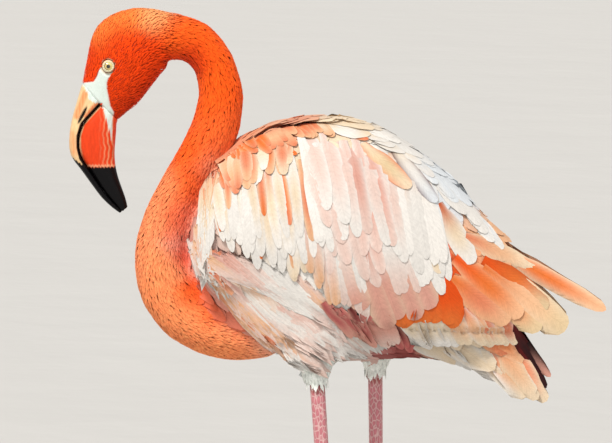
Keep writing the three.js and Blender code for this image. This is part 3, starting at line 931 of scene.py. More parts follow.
@dataclass
class Skin:
    """The one skin that lies under the whole coat and shows on the face and legs."""

    body_voxel: float = 4.0 * MM
    head_voxel: float = 1.0 * MM
    leg_voxel: float = 1.5 * MM
    leg_overlap: float = 22.0 * MM
    flesh: tuple[str, ...] = ("head", *NECK_NODES, "trunk", "wing_left", "wing_right", "thigh_left",
                              "thigh_right")
    legs: tuple[str, ...] = tuple(f"{part}_{side}" for part in LEG_PARTS for side in SIDES)

    def label(self, points: np.ndarray, names: Sequence[str]) -> np.ndarray:
        """Finds the frame node nearest each place.

        Args:
            points: the places.
            names: the nodes to choose from.

        Returns:
            For each place, a node's number in names.
        """
        corners, faces, owner, start = [], [], [], 0
        for number, name in enumerate(names):
            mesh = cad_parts[name].data
            corners.append(places_of(mesh))
            faces.append(triangles_of(mesh) + start)
            owner += [number] * len(faces[-1])
            start += len(corners[-1])
        tree = BVHTree.FromPolygons(np.concatenate(corners).tolist(), np.concatenate(faces).tolist())
        return np.array([owner[tree.find_nearest(p)[2]] for p in points.tolist()])

    def depths(self, points: np.ndarray) -> np.ndarray:
        """Gives the coat's depth over each place, before it is spread."""
        table = np.array([COAT_DEPTH[n if n in COAT_DEPTH else n.split("_")[0]] for n in self.flesh]) * MM
        return table[self.label(points, self.flesh)]

    def shrink(self, mesh: bpy.types.Mesh) -> None:
        """Moves a closed mesh inwards by the coat's depth, less where the flesh is thin."""
        net, ground = Net(mesh), Ground(mesh)
        points, normals = places_of(mesh), normals_of(mesh)
        depth = self.depths(points)
        for i, (p, n) in enumerate(zip(points, normals)):
            hit = ground.tree.ray_cast((p - n * 0.5 * MM).tolist(), (-n).tolist(), 0.1)
            if hit[3] is not None:
                depth[i] = min(depth[i], 0.3 * hit[3])
        depth = net.relax(depth, 12)
        face = smooth((-0.190 - points[:, 1]) / 0.02)
        depth = depth * (1 - 0.35 * face)
        set_places(mesh, net.relax(points - normals * depth[:, None], 4, keep=0.9))

    def refine_face(self, mesh: bpy.types.Mesh) -> None:
        """Cuts the head's faces finer and fits them to the head, then shapes sockets and lids."""
        for rear in (HEAD_REAR, FACE_REAR):
            cut_finer(mesh, lambda place, limit=rear: place[1] < limit and place[2] > HEAD_FLOOR)
        self.fit_head(mesh)
        for reach in (10.0, 8.0):
            cut_finer(mesh, lambda place, limit=reach: self.eye_gap(place) < limit)
        self.open_eyes(mesh)

    def eye_gap(self, place: Sequence[float]) -> float:
        """Measures a place's distance from its own side's eye axis, in millimetres."""
        return math.hypot(place[1] / MM - EYE[0], place[2] / MM - EYE[1]) if abs(place[0]) > 8 * MM else 99.0

    def fit_head(self, mesh: bpy.types.Mesh) -> None:
        """Lays the fine part of the head on the frame's head, inside it by the coat's depth."""
        helper = copy_nodes(("head", "neck_arch"), "head_form")
        remesh(helper, self.head_voxel)
        ease_shape(helper.data, 14, 0.9)
        ground = Ground(helper.data)
        points = places_of(mesh)
        near = (points[:, 1] < -0.150) & (points[:, 2] > HEAD_FLOOR)
        places, ups = ground.drop(points[near])
        bare = smooth((bareness(places) + 3.0) / 4.0)
        depth = (1.4 + 1.8 * smooth((places[:, 1] + 0.195) / 0.04)) * MM * (1 - bare)
        blend = smooth((-0.150 - points[near, 1]) / 0.010)[:, None]
        points[near] = points[near] * (1 - blend) + (places - ups * depth[:, None]) * blend
        eased = Net(mesh).relax(points, 3, keep=0.95)
        points[near] = eased[near]
        set_places(mesh, points)
        discard(helper)

    def open_eyes(self, mesh: bpy.types.Mesh) -> None:
        """Sinks the skin behind each eyeball and rolls a lid round it."""
        points = places_of(mesh)
        for side in SIDES.values():
            centre = np.array([side * EYE_SIDE, *EYE]) * MM
            ray = points - centre
            turned = np.hypot(ray[:, 1], ray[:, 2] * 1.08) / MM
            mine = (ray[:, 0] * side > -2 * MM) & (turned < 9.5)
            r = turned[mine]
            out = np.linalg.norm(ray[mine], axis=1)
            hole = (EYE_RADIUS - 1.6) * MM
            roll = (EYE_RADIUS + 0.75) * MM
            lid = smooth((r - 3.9) / 0.55)
            away = smooth((r - 5.4) / 2.6)
            target = hole + (roll - hole) * lid
            wanted = target * (1 - away) + out * away
            wanted = np.where(r > 5.4, np.maximum(wanted, out * away + target * (1 - away)), target)
            points[mine] = centre + ray[mine] / out[:, None] * wanted[:, None]
        set_places(mesh, points)

    def make_legs(self) -> bpy.types.Object:
        """Makes both bare legs, their tops run up inside the thighs."""
        helper = copy_nodes(self.legs, "leg_form")
        points = places_of(helper.data)
        for side in SIDES:
            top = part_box(f"shin_{side}")[1].z
            mine = (points[:, 0] * SIDES[side] > 0) & (points[:, 2] > top - 1.0 * MM)
            points[mine, 2] += self.leg_overlap
        set_places(helper.data, points)
        remesh(helper, self.leg_voxel)
        ease_shape(helper.data, 12, 0.97)
        self.raise_scutes(helper.data)
        return helper

    def raise_scutes(self, mesh: bpy.types.Mesh) -> None:
        """Raises the broad plates down the front of the shanks and along the toes' tops."""
        points, normals = places_of(mesh), normals_of(mesh)
        pitch = 6.0 * MM
        wave = 1.0 - np.abs(((points[:, 2] / pitch) % 1.0) * 2 - 1.0) ** 6
        front = smooth(-normals[:, 1] * 2.0 - 0.5)
        shank = (points[:, 2] > 0.03) & (points[:, 2] < 0.49)
        lift = (wave - 1.0) * front * shank * 0.28 * MM
        toe = (points[:, 2] < 0.014) & (normals[:, 2] > 0.2)
        ripple = 1.0 - np.abs(((points[:, 1] / (5.0 * MM)) % 1.0) * 2 - 1.0) ** 5
        lift += np.where(toe, (ripple - 1.0) * 0.25 * MM, 0.0)
        set_places(mesh, points + normals * lift[:, None])

    def build(self) -> bpy.types.Object:
        """Builds the skin.

        Returns:
            The finished piece, which stands for all the nodes of flesh.
        """
        body = copy_nodes(self.flesh, "skin")
        remesh(body, self.body_voxel)
        ease_shape(body.data, 8, 0.9)
        self.shrink(body.data)
        self.refine_face(body.data)
        legs = self.make_legs()
        join = body.modifiers.new("Join", "BOOLEAN")
        join.operation, join.solver, join.object = "UNION", "MANIFOLD", legs
        apply_modifiers(body)
        discard(legs)
        body.data.shade_smooth()
        self.dress(body)
        return body

    def dress(self, body: bpy.types.Object) -> None:
        """Colours the skin with the coat's own markings, its bare face pale and its legs pink."""
        points = places_of(body.data)
        bare = smooth((bareness(points) + 1.0) / 1.5)[:, None]
        tint = markings(points) * (1 - bare) + Hue.LORE.rgb * bare
        x, z = np.abs(points[:, 0]), points[:, 2]
        leg = (z < 0.50) | ((z < 0.520) & (x > 24 * MM) & (x < 52 * MM))
        joint = np.exp(-((z - 0.325) / 0.03) ** 2) + 0.8 * np.exp(-((z - 0.01) / 0.02) ** 2)
        joint = joint + np.exp(-((z - 0.509) / 0.005) ** 4)
        pink = Hue.LEG.rgb + (Hue.LEG_DARK.rgb - Hue.LEG.rgb) * np.clip(joint, 0, 1)[:, None]
        tint = np.where(leg[:, None], pink, tint)
        eyes = [np.array([side * EYE_SIDE, *EYE]) * MM for side in SIDES.values()]
        gaps = [np.linalg.norm(points - eye, axis=1) for eye in eyes]
        ring = np.exp(-((np.min(gaps, axis=0) / MM - EYE_RADIUS - 0.6) / 0.9) ** 2)[:, None]
        tint = tint * (1 - 0.7 * ring) + Hue.LID.rgb * 0.7 * ring
        paint(body.data, "Tint", tint)
        scaled = body.data.attributes.new("Scaled", "FLOAT", "POINT")
        scaled.data.foreach_set("value", leg.astype(float) * 0.8)
        finish_piece(body, SkinFinish().make(), self.flesh + self.legs)


# ---------------------------------------------------------------- bill, eyes and claws


def mouth_gap(yz: np.ndarray) -> np.ndarray:
    """Measures how far side-view points lie from the mouth's line, in millimetres."""
    return np.min([capsule(yz, a, b) for a, b in zip(MOUTH[:-1], MOUTH[1:])], axis=0)


@dataclass
class Bill:
    """The two mandibles, closed on a dark line, with their nostrils and the comb of plates inside."""

    voxel: float = 0.8 * MM
    seat: float = 2.0 * MM
    lips: float = 0.45 * MM
    nostril_depth: float = 1.6
    nostril_width: float = 1.45

    def build(self) -> None:
        """Builds both mandibles and the plates along the mouth."""
        horn = HornFinish().make()
        for name, slot in (("bill_upper", "bill_pale"), ("bill_lower", "bill_red")):
            piece = copy_nodes((name,), f"{name}_horn")
            remesh(piece, self.voxel)
            ease_shape(piece.data, 10, 0.96)
            upper = name == "bill_upper"
            self.shape(piece.data, upper)
            self.tint(piece.data, upper)
            piece.data.shade_smooth()
            finish_piece(piece, horn, (name,))
        self.comb(horn)

    def shape(self, mesh: bpy.types.Mesh, upper: bool) -> None:
        """Seats a mandible in the face, swells its lips along the mouth and cuts the nostrils of the upper
        one.
        """
        points, normals = places_of(mesh), normals_of(mesh)
        heading = np.array([-0.735, -0.678])
        along = (points[:, 1:] - np.array(BILL_ROOT) * MM) @ heading
        near = smooth((1.5 * MM - along + np.min(along)) / (2.0 * MM))
        points[:, 1:] -= near[:, None] * heading * self.seat
        mouth = mouth_gap(points[:, 1:])
        points += normals * (self.lips * smooth((2.0 - mouth) / 1.5))[:, None]
        if upper:
            gap = self.nostril(points)
            cut = self.nostril_depth * np.exp(-gap**4) + 0.3 * np.exp(-(gap / 2.2) ** 2)
            flank = np.abs(normals[:, 0]) > 0.3
            points -= normals * (cut * flank * MM)[:, None]
        set_places(mesh, points)

    def nostril(self, points: np.ndarray) -> np.ndarray:
        """Measures places against the slit of the nostril, 1 on its edge."""
        a, b = np.array(NOSTRIL)
        ahead = (b - a) / np.linalg.norm(b - a)
        off = points[:, 1:] / MM - (a + b) / 2
        along, across = off @ ahead, off @ np.array([-ahead[1], ahead[0]])
        return np.hypot(along / (np.linalg.norm(b - a) / 2), across / self.nostril_width)

    def tint(self, mesh: bpy.types.Mesh, upper: bool) -> None:
        """Colours a mandible: pale horn or red at the face, black past the bend, dark along the mouth."""
        points = places_of(mesh)
        yz = points[:, 1:] / MM
        mouth = mouth_gap(points[:, 1:])
        ripple = 0.5 * np.sin(yz[:, 0] * 2.1) + 0.35 * np.sin(yz[:, 0] * 4.7 + points[:, 0] * 900)
        tint = np.tile((Hue.HORN if upper else Hue.BILL_RED).rgb, (len(points), 1))

        def wash(mask: np.ndarray, hue: Hue) -> None:
            """Lays a hue over the part that a mask from 0 to 1 picks."""
            tint[:] = tint * (1 - mask[:, None]) + hue.rgb * mask[:, None]

        if upper:
            patch = np.exp(-(capsule(points[:, 1:], (-236.0, 784), (-244.5, 762)) / 2.9) ** 4)
            patch += np.exp(-(capsule(points[:, 1:], (-226.0, 774), (-236.5, 762)) / 1.7) ** 4)
            patch += 0.7 * np.exp(-(capsule(points[:, 1:], (-248.5, 746), (-247.0, 728)) / 3.0) ** 2)
            wash(np.clip(patch * (0.75 + 0.3 * ripple), 0, 1), Hue.HORN_PINK)
            edge = 719.5 + (yz[:, 0] + 243.0) * -0.7 + ripple
        else:
            wash(smooth((3.6 - mouth) / 1.6) * smooth((yz[:, 1] - 716) / 20.0) * 0.8, Hue.HORN)
            thread = np.sin(yz[:, 0] * 1.6 + 1.3 * np.sin(yz[:, 1] * 0.23) + 0.5 * np.sin(yz[:, 1] * 0.71))
            inside = smooth((yz[:, 0] + 225.0) / 10.0) * smooth((-208.5 - yz[:, 0]) / 3.0)
            wash(0.45 * (inside * smooth(thread + 0.1)), Hue.HORN)
            edge = 714.7 + ripple
            wash(smooth((1.8 - np.abs(yz[:, 1] - edge - 0.6)) / 1.6) * 0.6, Hue.PEACH)
        wash(smooth((bareness(points) + 0.6 + ripple) / 1.2), Hue.LORE)
        wash(smooth((edge - yz[:, 1]) / 1.2), Hue.BLACK)
        wash(smooth(((1.6 if upper else 1.5) - mouth) / 0.6), Hue.BLACK)
        if upper:
            # painted shade: the nostril's slit is painted black for the shade inside the opening.
            wash(smooth((1.15 - self.nostril(points)) / 0.3), Hue.BLACK)
        paint(mesh, "Tint", tint)

    def comb(self, horn: bpy.types.Material) -> None:
        """Sets small straining plates along both sides of the mouth with a node tree."""
        plate = {"Pitch": 1.6 * MM, "Thickness": 0.35 * MM, "Depth": 2.4 * MM, "Height": 1.4 * MM}
        tree = bpy.data.node_groups.new("Comb_plates", "GeometryNodeTree")
        tree.interface.new_socket("Geometry", in_out="INPUT", socket_type="NodeSocketGeometry")
        tree.interface.new_socket("Geometry", in_out="OUTPUT", socket_type="NodeSocketGeometry")
        sizes = {}
        for label, value in plate.items():
            socket = tree.interface.new_socket(label, in_out="INPUT", socket_type="NodeSocketFloat")
            sizes[socket.identifier] = value
        given = add_node(tree, "NodeGroupInput").outputs
        path = add_node(tree, "GeometryNodeMeshToCurve", {"Mesh": given["Geometry"]})
        spots = add_node(tree, "GeometryNodeCurveToPoints",
                         {"Curve": path.outputs[0], "Length": given["Pitch"]}, mode="LENGTH").outputs
        size = add_node(tree, "ShaderNodeCombineXYZ",
                        {0: given["Depth"], 1: given["Height"], 2: given["Thickness"]})
        block = add_node(tree, "GeometryNodeMeshCube", {"Size": size.outputs[0]})
        placed = add_node(tree, "GeometryNodeInstanceOnPoints",
                          {"Points": spots["Points"], "Instance": block.outputs["Mesh"],
                           "Rotation": spots["Rotation"]})
        solid = add_node(tree, "GeometryNodeRealizeInstances", {"Geometry": placed.outputs[0]})
        dressed = add_node(tree, "GeometryNodeSetMaterial", {"Geometry": solid.outputs[0], "Material": horn})
        add_node(tree, "NodeGroupOutput", {0: dressed.outputs[0]})
        stops = 40
        along = np.linspace(0, 1, stops)
        line = follow(MOUTH[1:-1], along)
        half = np.interp(along, [0, 0.35, 0.7, 1], [8.0, 8.0, 6.0, 2.0]) * MM
        points = np.concatenate([np.column_stack([side * half, line]) for side in SIDES.values()])
        edges = [(i, i + 1) for start in (0, stops) for i in range(start, start + stops - 1)]
        mesh = bpy.data.meshes.new("bill_comb")
        mesh.from_pydata(points.tolist(), edges, [])
        piece = link_object("bill_comb", mesh)
        change = piece.modifiers.new("Plates", "NODES")
        change.node_group = tree
        for identifier, value in sizes.items():
            change[identifier] = value
        apply_modifiers(piece)
        count = len(piece.data.vertices)
        paint(piece.data, "Tint", np.tile(Hue.DUSK.rgb, (count, 1)))
        finish_piece(piece, horn)


@dataclass
class Eye:
    """One eye: a full ball with a rayed iris and a round pupil, and the thin rim of its lids."""

    side: str
    pupil: float = 2.0
    iris: float = 4.4
    rim: float = 0.7

    def build(self) -> None:
        """Builds the ball and its rim."""
        self.ball()
        self.lid_rim()

    def ball(self) -> None:
        """Turns the ball round its sight line, its cornea standing slightly proud."""
        sign = SIDES[self.side]
        rings, turns = 40, 48
        theta = np.linspace(0.0, math.pi, rings + 1)[1:-1]
        phi = np.linspace(0.0, 2 * math.pi, turns, endpoint=False)
        off = np.sin(theta) * EYE_RADIUS
        bulge = 0.45 * np.exp(-(off / 3.0) ** 2) * (np.cos(theta) > 0)
        radius = EYE_RADIUS + bulge
        x = radius[:, None] * np.cos(theta)[:, None] * np.ones(turns)
        y = radius[:, None] * np.sin(theta)[:, None] * np.cos(phi)
        z = radius[:, None] * np.sin(theta)[:, None] * np.sin(phi)
        grid = np.stack([x * sign, y, z], axis=-1).reshape(-1, 3)
        poles = np.array([[sign * (EYE_RADIUS + 0.45), 0, 0], [-sign * EYE_RADIUS, 0, 0]])
        points = (np.concatenate([grid, poles]) + np.array([sign * EYE_SIDE, *EYE])) * MM
        index = np.arange((rings - 1) * turns).reshape(rings - 1, turns)
        nxt = np.roll(index, -1, axis=1)
        quads = np.stack([index[:-1], index[1:], nxt[1:], nxt[:-1]], axis=-1).reshape(-1, 4)
        front = np.stack([np.full(turns, len(grid)), index[0], nxt[0]], axis=1)
        back = np.stack([np.full(turns, len(grid) + 1), nxt[-1], index[-1]], axis=1)
        blocks = [quads, front, back]
        if sign < 0:
            blocks = [block[:, ::-1] for block in blocks]
        mesh = new_mesh(f"eye_{self.side}_ball", points, blocks)
        away = np.concatenate([np.repeat(off, turns), [0.0, 0.0]])
        ahead = np.concatenate([np.repeat(np.cos(theta) > 0, turns), [True, False]])
        tint = np.tile(Hue.IRIS.rgb, (len(points), 1))
        inner = smooth((2.4 - away) / 0.8)[:, None]
        tint = tint * (1 - 0.25 * inner) + Hue.ORANGE.rgb * 0.25 * inner
        # the iris's outer ring takes the lids' pale colour; the burnt-orange band round the ball's edge is
        # painted shade in the gap between ball and lids.
        for start, hue in ((self.iris, Hue.LID), (5.9, Hue.BURNT)):
            rim = smooth((away - start + 0.3) / 0.4)[:, None]
            tint = tint * (1 - rim) + hue.rgb * rim
        # painted shade: a dark maroon arc over the front of the iris stands for the shade in the crease where
        # the lids meet.
        facing = np.concatenate([np.tile(np.cos(phi) * -0.9 - np.sin(phi) * 0.3, rings - 1), [0.0, 0.0]])
        painted_crease_shade = (np.exp(-((away - 3.3) / 0.42) ** 2) * smooth(facing * 2.2))[:, None]
        tint = tint * (1 - painted_crease_shade) + Hue.MAROON.rgb * painted_crease_shade
        black = (smooth((self.pupil - away) / 0.25) * ahead)[:, None]
        tint = tint * (1 - black) + np.array([0.004, 0.004, 0.004]) * black
        paint(mesh, "Tint", tint)
        turn = np.concatenate([np.tile(phi / (2 * math.pi), rings - 1), [0.0, 0.0]])
        map_corners(mesh, "Iris", np.column_stack([away / EYE_RADIUS, turn]))
        piece = link_object(f"eye_{self.side}_ball", mesh)
        finish_piece(piece, EyeFinish().make(), (f"eye_{self.side}",))

    def lid_rim(self) -> None:
        """Runs a thin wrinkled rim round the opening of the lids."""
        sign = SIDES[self.side]
        turns, across = 72, 10
        phi = np.linspace(0, 2 * math.pi, turns, endpoint=False)
        psi = np.linspace(0, 2 * math.pi, across, endpoint=False)
        oval = np.stack([4.6 * np.cos(phi), 4.3 * np.sin(phi)], axis=1)
        out = np.sqrt(np.maximum((EYE_RADIUS + 0.25) ** 2 - (oval**2).sum(axis=1), 0.0))
        thick = self.rim * (1 + 0.18 * np.sin(phi * 14) + 0.25 * np.cos(phi * 2))
        radial = unit(oval)
        ring = (1 + thick[:, None] * np.cos(psi) / 4.2)
        y = oval[:, 0, None] * ring
        z = oval[:, 1, None] * ring
        x = out[:, None] + thick[:, None] * np.sin(psi) - 0.15 * (radial[:, 0, None] > 2)
        points = np.stack([sign * (x + EYE_SIDE), y + EYE[0], z + EYE[1]], axis=-1).reshape(-1, 3) * MM
        index = np.arange(turns * across).reshape(turns, across)
        a, b = index, np.roll(index, -1, axis=0)
        quads = np.stack([a, b, np.roll(b, -1, axis=1), np.roll(a, -1, axis=1)], axis=-1).reshape(-1, 4)
        if sign < 0:
            quads = quads[:, ::-1]
        mesh = new_mesh(f"lid_rim_{self.side}", points, [quads])
        finish = PlainFinish("Lid_skin", Hue.LID, 0.45, 0.5 * MM, 0.2)
        finish_piece(link_object(f"lid_rim_{self.side}", mesh), finish.make())


def dress_claws() -> None:
    """Gives the six claws, which keep the frame's shapes, their dark horn."""
    mat = PlainFinish("Claw_horn", Hue.CLAW, 0.4, 0.8 * MM, 0.2).make()
    for side in SIDES:
        for toe in ("outer", "middle", "inner"):
            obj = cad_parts[f"claw_{toe}_{side}"]
            obj.data.materials.clear()
            obj.data.materials.append(mat)
    LOG.info("claws: 6 nodes dressed")


# ---------------------------------------------------------------- feathers


@dataclass(frozen=True)
class VaneForm:
    """The grid of one broad feather: stations along its shaft, points across it and a closed underside."""

    along: int = 6
    across: int = 4
    waist: float = 0.45
    swell: float = 0.45
    crown: float = 0.05
    thickness: float = 0.28 * MM

    @property
    def t(self) -> np.ndarray:
        """The stations, from root to tip, closer together towards the tip."""
        return np.linspace(0.0, 1.0, self.along + 1) ** 0.85

    @property
    def s(self) -> np.ndarray:
        """The places across, from edge to edge."""
        return np.linspace(-1.0, 1.0, self.across + 1)

    def faces(self) -> np.ndarray:
        """Numbers the corners of the quads of the upper and under sides."""
        rows, columns = self.along + 1, self.across + 1
        top = np.arange(rows * columns).reshape(rows, columns)
        under = top.copy()
        under[1:-1, 1:-1] = rows * columns + np.arange((rows - 2) * (columns - 2)).reshape(rows - 2, -1)
        upper = np.stack([top[:-1, :-1], top[1:, :-1], top[1:, 1:], top[:-1, 1:]], axis=-1).reshape(-1, 4)
        lower = np.stack([under[:-1, :-1], under[:-1, 1:], under[1:, 1:], under[1:, :-1]], axis=-1)
        return np.concatenate([upper, lower.reshape(-1, 4)])

    def close(self, upper: np.ndarray, lower: np.ndarray) -> np.ndarray:
        """Strings a grid's upper values and the inner ones of its underside together."""
        inner = lower[:, 1:-1, 1:-1]
        return np.concatenate([upper.reshape(len(upper), -1, upper.shape[-1]),
                               inner.reshape(len(inner), -1, inner.shape[-1])], axis=1)


@dataclass
class Plumes:
    """Feathers of one form, side by side in arrays, in the order in which they are laid."""

    centre: np.ndarray
    ahead: np.ndarray
    up: np.ndarray
    length: np.ndarray
    width: np.ndarray
    point: np.ndarray
    hues: np.ndarray
    edge: np.ndarray

    @staticmethod
    def join(parts: Sequence["Plumes"]) -> "Plumes":
        """Strings several sets together."""
        return Plumes(*(np.concatenate(rows) for rows in zip(*(vars(part).values() for part in parts))))

    def pick(self, order: np.ndarray) -> "Plumes":
        """Puts the feathers into another order."""
        return Plumes(*(rows[order] for rows in vars(self).values()))


class Pile:
    """Heights, over small cells, of what already lies there, so that each feather rests on the last."""

    def __init__(self, start: Callable[[np.ndarray], np.ndarray], cell: float = 2.4 * MM) -> None:
        """Starts with bare ground.

        Args:
            start: gives the bare ground's height at each place.
            cell: the cells' size.
        """
        self.start = start
        self.cell = cell
        self.heights: dict[int, float] = {}

    def keys(self, points: np.ndarray) -> np.ndarray:
        """Numbers the cells that points lie in."""
        at = np.floor(points / self.cell).astype(np.int64) + 4096
        return (at[..., 0] << 28) | (at[..., 1] << 14) | at[..., 2]

    def lay(self, base: np.ndarray, thickness: float, gap: float) -> np.ndarray:
        """Lays one feather on what is there and adds it to the pile.

        Args:
            base: the feather's grid on the ground.
            thickness: its thickness.
            gap: the air left under it.

        Returns:
            The height of each of the grid's points.
        """
        rows, columns = base.shape[:2]
        fine = 3
        r = np.linspace(0, rows - 1, (rows - 1) * fine + 1)
        c = np.linspace(0, columns - 1, (columns - 1) * fine + 1)
        flat = bilinear(base, r, c).reshape(-1, 3)
        unique, back = np.unique(self.keys(flat), return_inverse=True)
        piled = np.array([self.heights.get(k, -1.0) for k in unique.tolist()])[back.reshape(-1)]
        under = np.maximum(self.start(flat), piled).reshape(len(r), len(c))
        padded = np.pad(under, 1, mode="edge")
        peak = under
        for i in range(3):
            for j in range(3):
                peak = np.maximum(peak, padded[i:i + len(r), j:j + len(c)])
        need = peak[::fine, ::fine] + gap
        height = need.copy()
        for _ in range(8):
            ring = np.pad(height, 1, mode="edge")
            mean = (ring[:-2, 1:-1] + ring[2:, 1:-1] + ring[1:-1, :-2] + ring[1:-1, 2:]) / 4
            height = np.maximum(need - 1.2 * gap, 0.3 * height + 0.7 * mean)
        top = bilinear(height[..., None], r, c).reshape(-1) + thickness
        best = np.full(len(unique), -1.0)
        np.maximum.at(best, back.reshape(-1), top)
        for key, value in zip(unique.tolist(), best.tolist()):
            if value > self.heights.get(key, -1.0):
                self.heights[key] = value
        return height


def bilinear(grid: np.ndarray, r: np.ndarray, c: np.ndarray) -> np.ndarray:
    """Reads a grid of rows at fractional places.

    Args:
        grid: values in rows and columns.
        r: the row places.
        c: the column places.

    Returns:
        The values at each pairing of r and c.
    """
    r0 = np.minimum(r.astype(int), grid.shape[0] - 2)
    c0 = np.minimum(c.astype(int), grid.shape[1] - 2)
    fr, fc = (r - r0)[:, None, None], (c - c0)[None, :, None]
    a, b = grid[r0][:, c0], grid[r0][:, c0 + 1]
    d, e = grid[r0 + 1][:, c0], grid[r0 + 1][:, c0 + 1]
    return (a * (1 - fc) + b * fc) * (1 - fr) + (d * (1 - fc) + e * fc) * fr


@dataclass
class VaneCoat:
    """A piece of the coat made of broad feathers laid on a ground one after another."""

    name: str
    ground: Ground
    pile: Pile
    form: VaneForm
    tip_lift: float = 0.2 * MM
    gap: float = 0.14 * MM
    fray: float = 0.004
    relief: float = 0.4
    lean: float = 0.0
    ceiling: float = 14.0 * MM
    rim: float = 0.8
    seed: int = 1
    slot: str = "plumage_blush"
    nodes: tuple[str, ...] = ()

    def spread(self, plumes: Plumes) -> tuple[np.ndarray, np.ndarray, np.ndarray]:
        """Spreads each feather's grid over the ground.

        Args:
            plumes: the feathers.

        Returns:
            The grids' places, the ground's normals there, and each point's place on its feather.
        """
        rng = np.random.default_rng(self.seed)
        t, s = self.form.t, self.form.s
        half = self.form.waist + (1 - self.form.waist) * smooth(t / self.form.swell)
        half = half * (1 - 0.10 * t**3)
        across = np.cross(plumes.up, plumes.ahead)
        reach = plumes.width[:, None, None] / 2 * half[None, :, None] * s
        curve = 1 - np.sqrt(1 - 0.97 * s**2)
        back = (plumes.point * plumes.width / 2)[:, None, None] * (t**2)[None, :, None] * curve
        ragged = rng.normal(0.0, self.fray, (len(t), len(plumes.length), len(s))).transpose(1, 0, 2)
        back = back + ragged * plumes.length[:, None, None] * (t**6)[None, :, None]
        flat = (plumes.centre[:, :, None] + across[:, :, None] * reach[..., None]
                - plumes.ahead[:, :, None] * back[..., None])
        near, ups = self.ground.drop(flat)
        gap = np.linalg.norm(near - flat, axis=-1, keepdims=True)
        loose = np.maximum(smooth((gap - 1.5 * MM) / (2.5 * MM)), smooth((flat[..., 1:2] - 0.15) / 0.03))
        base = near * (1 - loose) + flat * loose
        ups = unit(ups * (1 - loose) + plumes.up[:, :, None] * loose)
        place = np.stack([reach, np.broadcast_to(t[None, :, None] * plumes.length[:, None, None], reach.shape)
                          - back], axis=-1)
        return base, ups, place

    def colour(self, plumes: Plumes) -> np.ndarray:
        """Blends each feather's hues from root to tip, with its edges in their own."""
        t, s = self.form.t, self.form.s
        low = smooth(t / 0.55)[None, :, None, None]
        high = smooth((t - 0.5) / 0.5)[None, :, None, None]
        root, middle, tip = (plumes.hues[:, i][:, None, None] for i in range(3))
        tint = (root * (1 - low) + middle * low) * (1 - high) + tip * high
        rim = (np.abs(s) ** 2)[None, None, :, None] * self.rim
        return tint * (1 - rim) + plumes.edge[:, None, None] * rim

    def build(self, plumes: Plumes, mat: bpy.types.Material) -> None:
        """Lays the feathers and makes the piece.

        Args:
            plumes: the feathers, the lowest first.
            mat: their material.
        """
        form, rng = self.form, np.random.default_rng(self.seed + 7)
        base, ups, place = self.spread(plumes)
        lift = np.stack([self.pile.lay(grid, form.thickness, self.gap) for grid in base])
        t, s = form.t, form.s
        loose = rng.uniform(0.3, 1.0, len(lift))[:, None, None] * self.tip_lift
        bow = form.crown * plumes.width[:, None, None] * (1 - s**2)
        lift = np.where(lift > 0, self.ceiling * (1 - np.exp(-lift / self.ceiling)), lift)
        high = lift + bow + loose * (t**4)[None, :, None]
        thin = form.thickness * np.broadcast_to(1 - 0.9 * s**2, high.shape)
        upper = base + ups * (high + 0.5 * thin)[..., None]
        lower = base + ups * (high - 0.5 * thin)[..., None]
        points = form.close(upper, lower)
        tint = self.colour(plumes) * rng.uniform(0.93, 1.04, (len(lift), 1, 1, 1))
        tints = form.close(tint, tint)
        vane = form.close(place, place)
        size = np.broadcast_to(np.stack(np.meshgrid(t - 0.5, s / 2, indexing="ij"), axis=-1), place.shape)
        patch = form.close(size, size) * BAKE_PATCH + body_unwrap(plumes.centre[:, 0])[:, None]
        count, each = points.shape[:2]
        single = form.faces()
        faces = (single[None] + (np.arange(count) * each)[:, None, None]).reshape(-1, 4)
        mesh = new_mesh(self.name, points.reshape(-1, 3), [faces])
        own = unit(np.cross(np.gradient(upper, axis=2), np.gradient(upper, axis=1)))
        own = own * np.sign((own * ups).sum(axis=-1, keepdims=True))
        under = self.lean * np.clip(-ups[..., 2:], 0.0, 1.0)
        outward = np.sign(ups[..., :1]) * np.array([1.0, 0.0, 0.0]) + np.array([0.0, 0.0, 0.6])
        soft = unit(own * self.relief + ups * (1 - self.relief) + outward * under)
        signs = np.repeat([1.0, -1.0], len(single) // 2)
        ease_normals(mesh, form.close(soft, soft).reshape(-1, 3), [faces], [signs])
        paint(mesh, "Tint", tints.reshape(-1, 3))
        map_corners(mesh, "OFBake", patch.reshape(-1, 2))
        map_corners(mesh, "Vane", vane.reshape(-1, 2))
        finish_piece(link_object(self.name, mesh), mat, self.nodes)


def comb_tracks(ground: Ground, roots: np.ndarray, flow: Callable, length: np.ndarray, t: np.ndarray,
                turn: np.ndarray) -> tuple[np.ndarray, np.ndarray, np.ndarray]:
    """Combs feathers' middle lines over a ground along its lie.

    Args:
        ground: the surface.
        roots: where they start.
        flow: gives the lie at places.
        length: their lengths.
        t: the stations, from 0 to 1.
        turn: how far each strays from the lie, in radians.

    Returns:
        The middle lines, their headings and the ground's normals, station by station.
    """
    here, up = ground.drop(roots)
    places, headings, ups = [], [], []
    for i in range(len(t)):
        ahead = flow(here)
        ahead = unit(ahead - up * (ahead * up).sum(axis=1, keepdims=True))
        across = np.cross(up, ahead)
        ahead = ahead * np.cos(turn)[:, None] + across * np.sin(turn)[:, None]
        places.append(here)
        headings.append(ahead)
        ups.append(up)
        if i + 1 < len(t):
            here, up = ground.drop(here + ahead * (length * (t[i + 1] - t[i]))[:, None])
    return np.stack(places, 1), np.stack(headings, 1), np.stack(ups, 1)


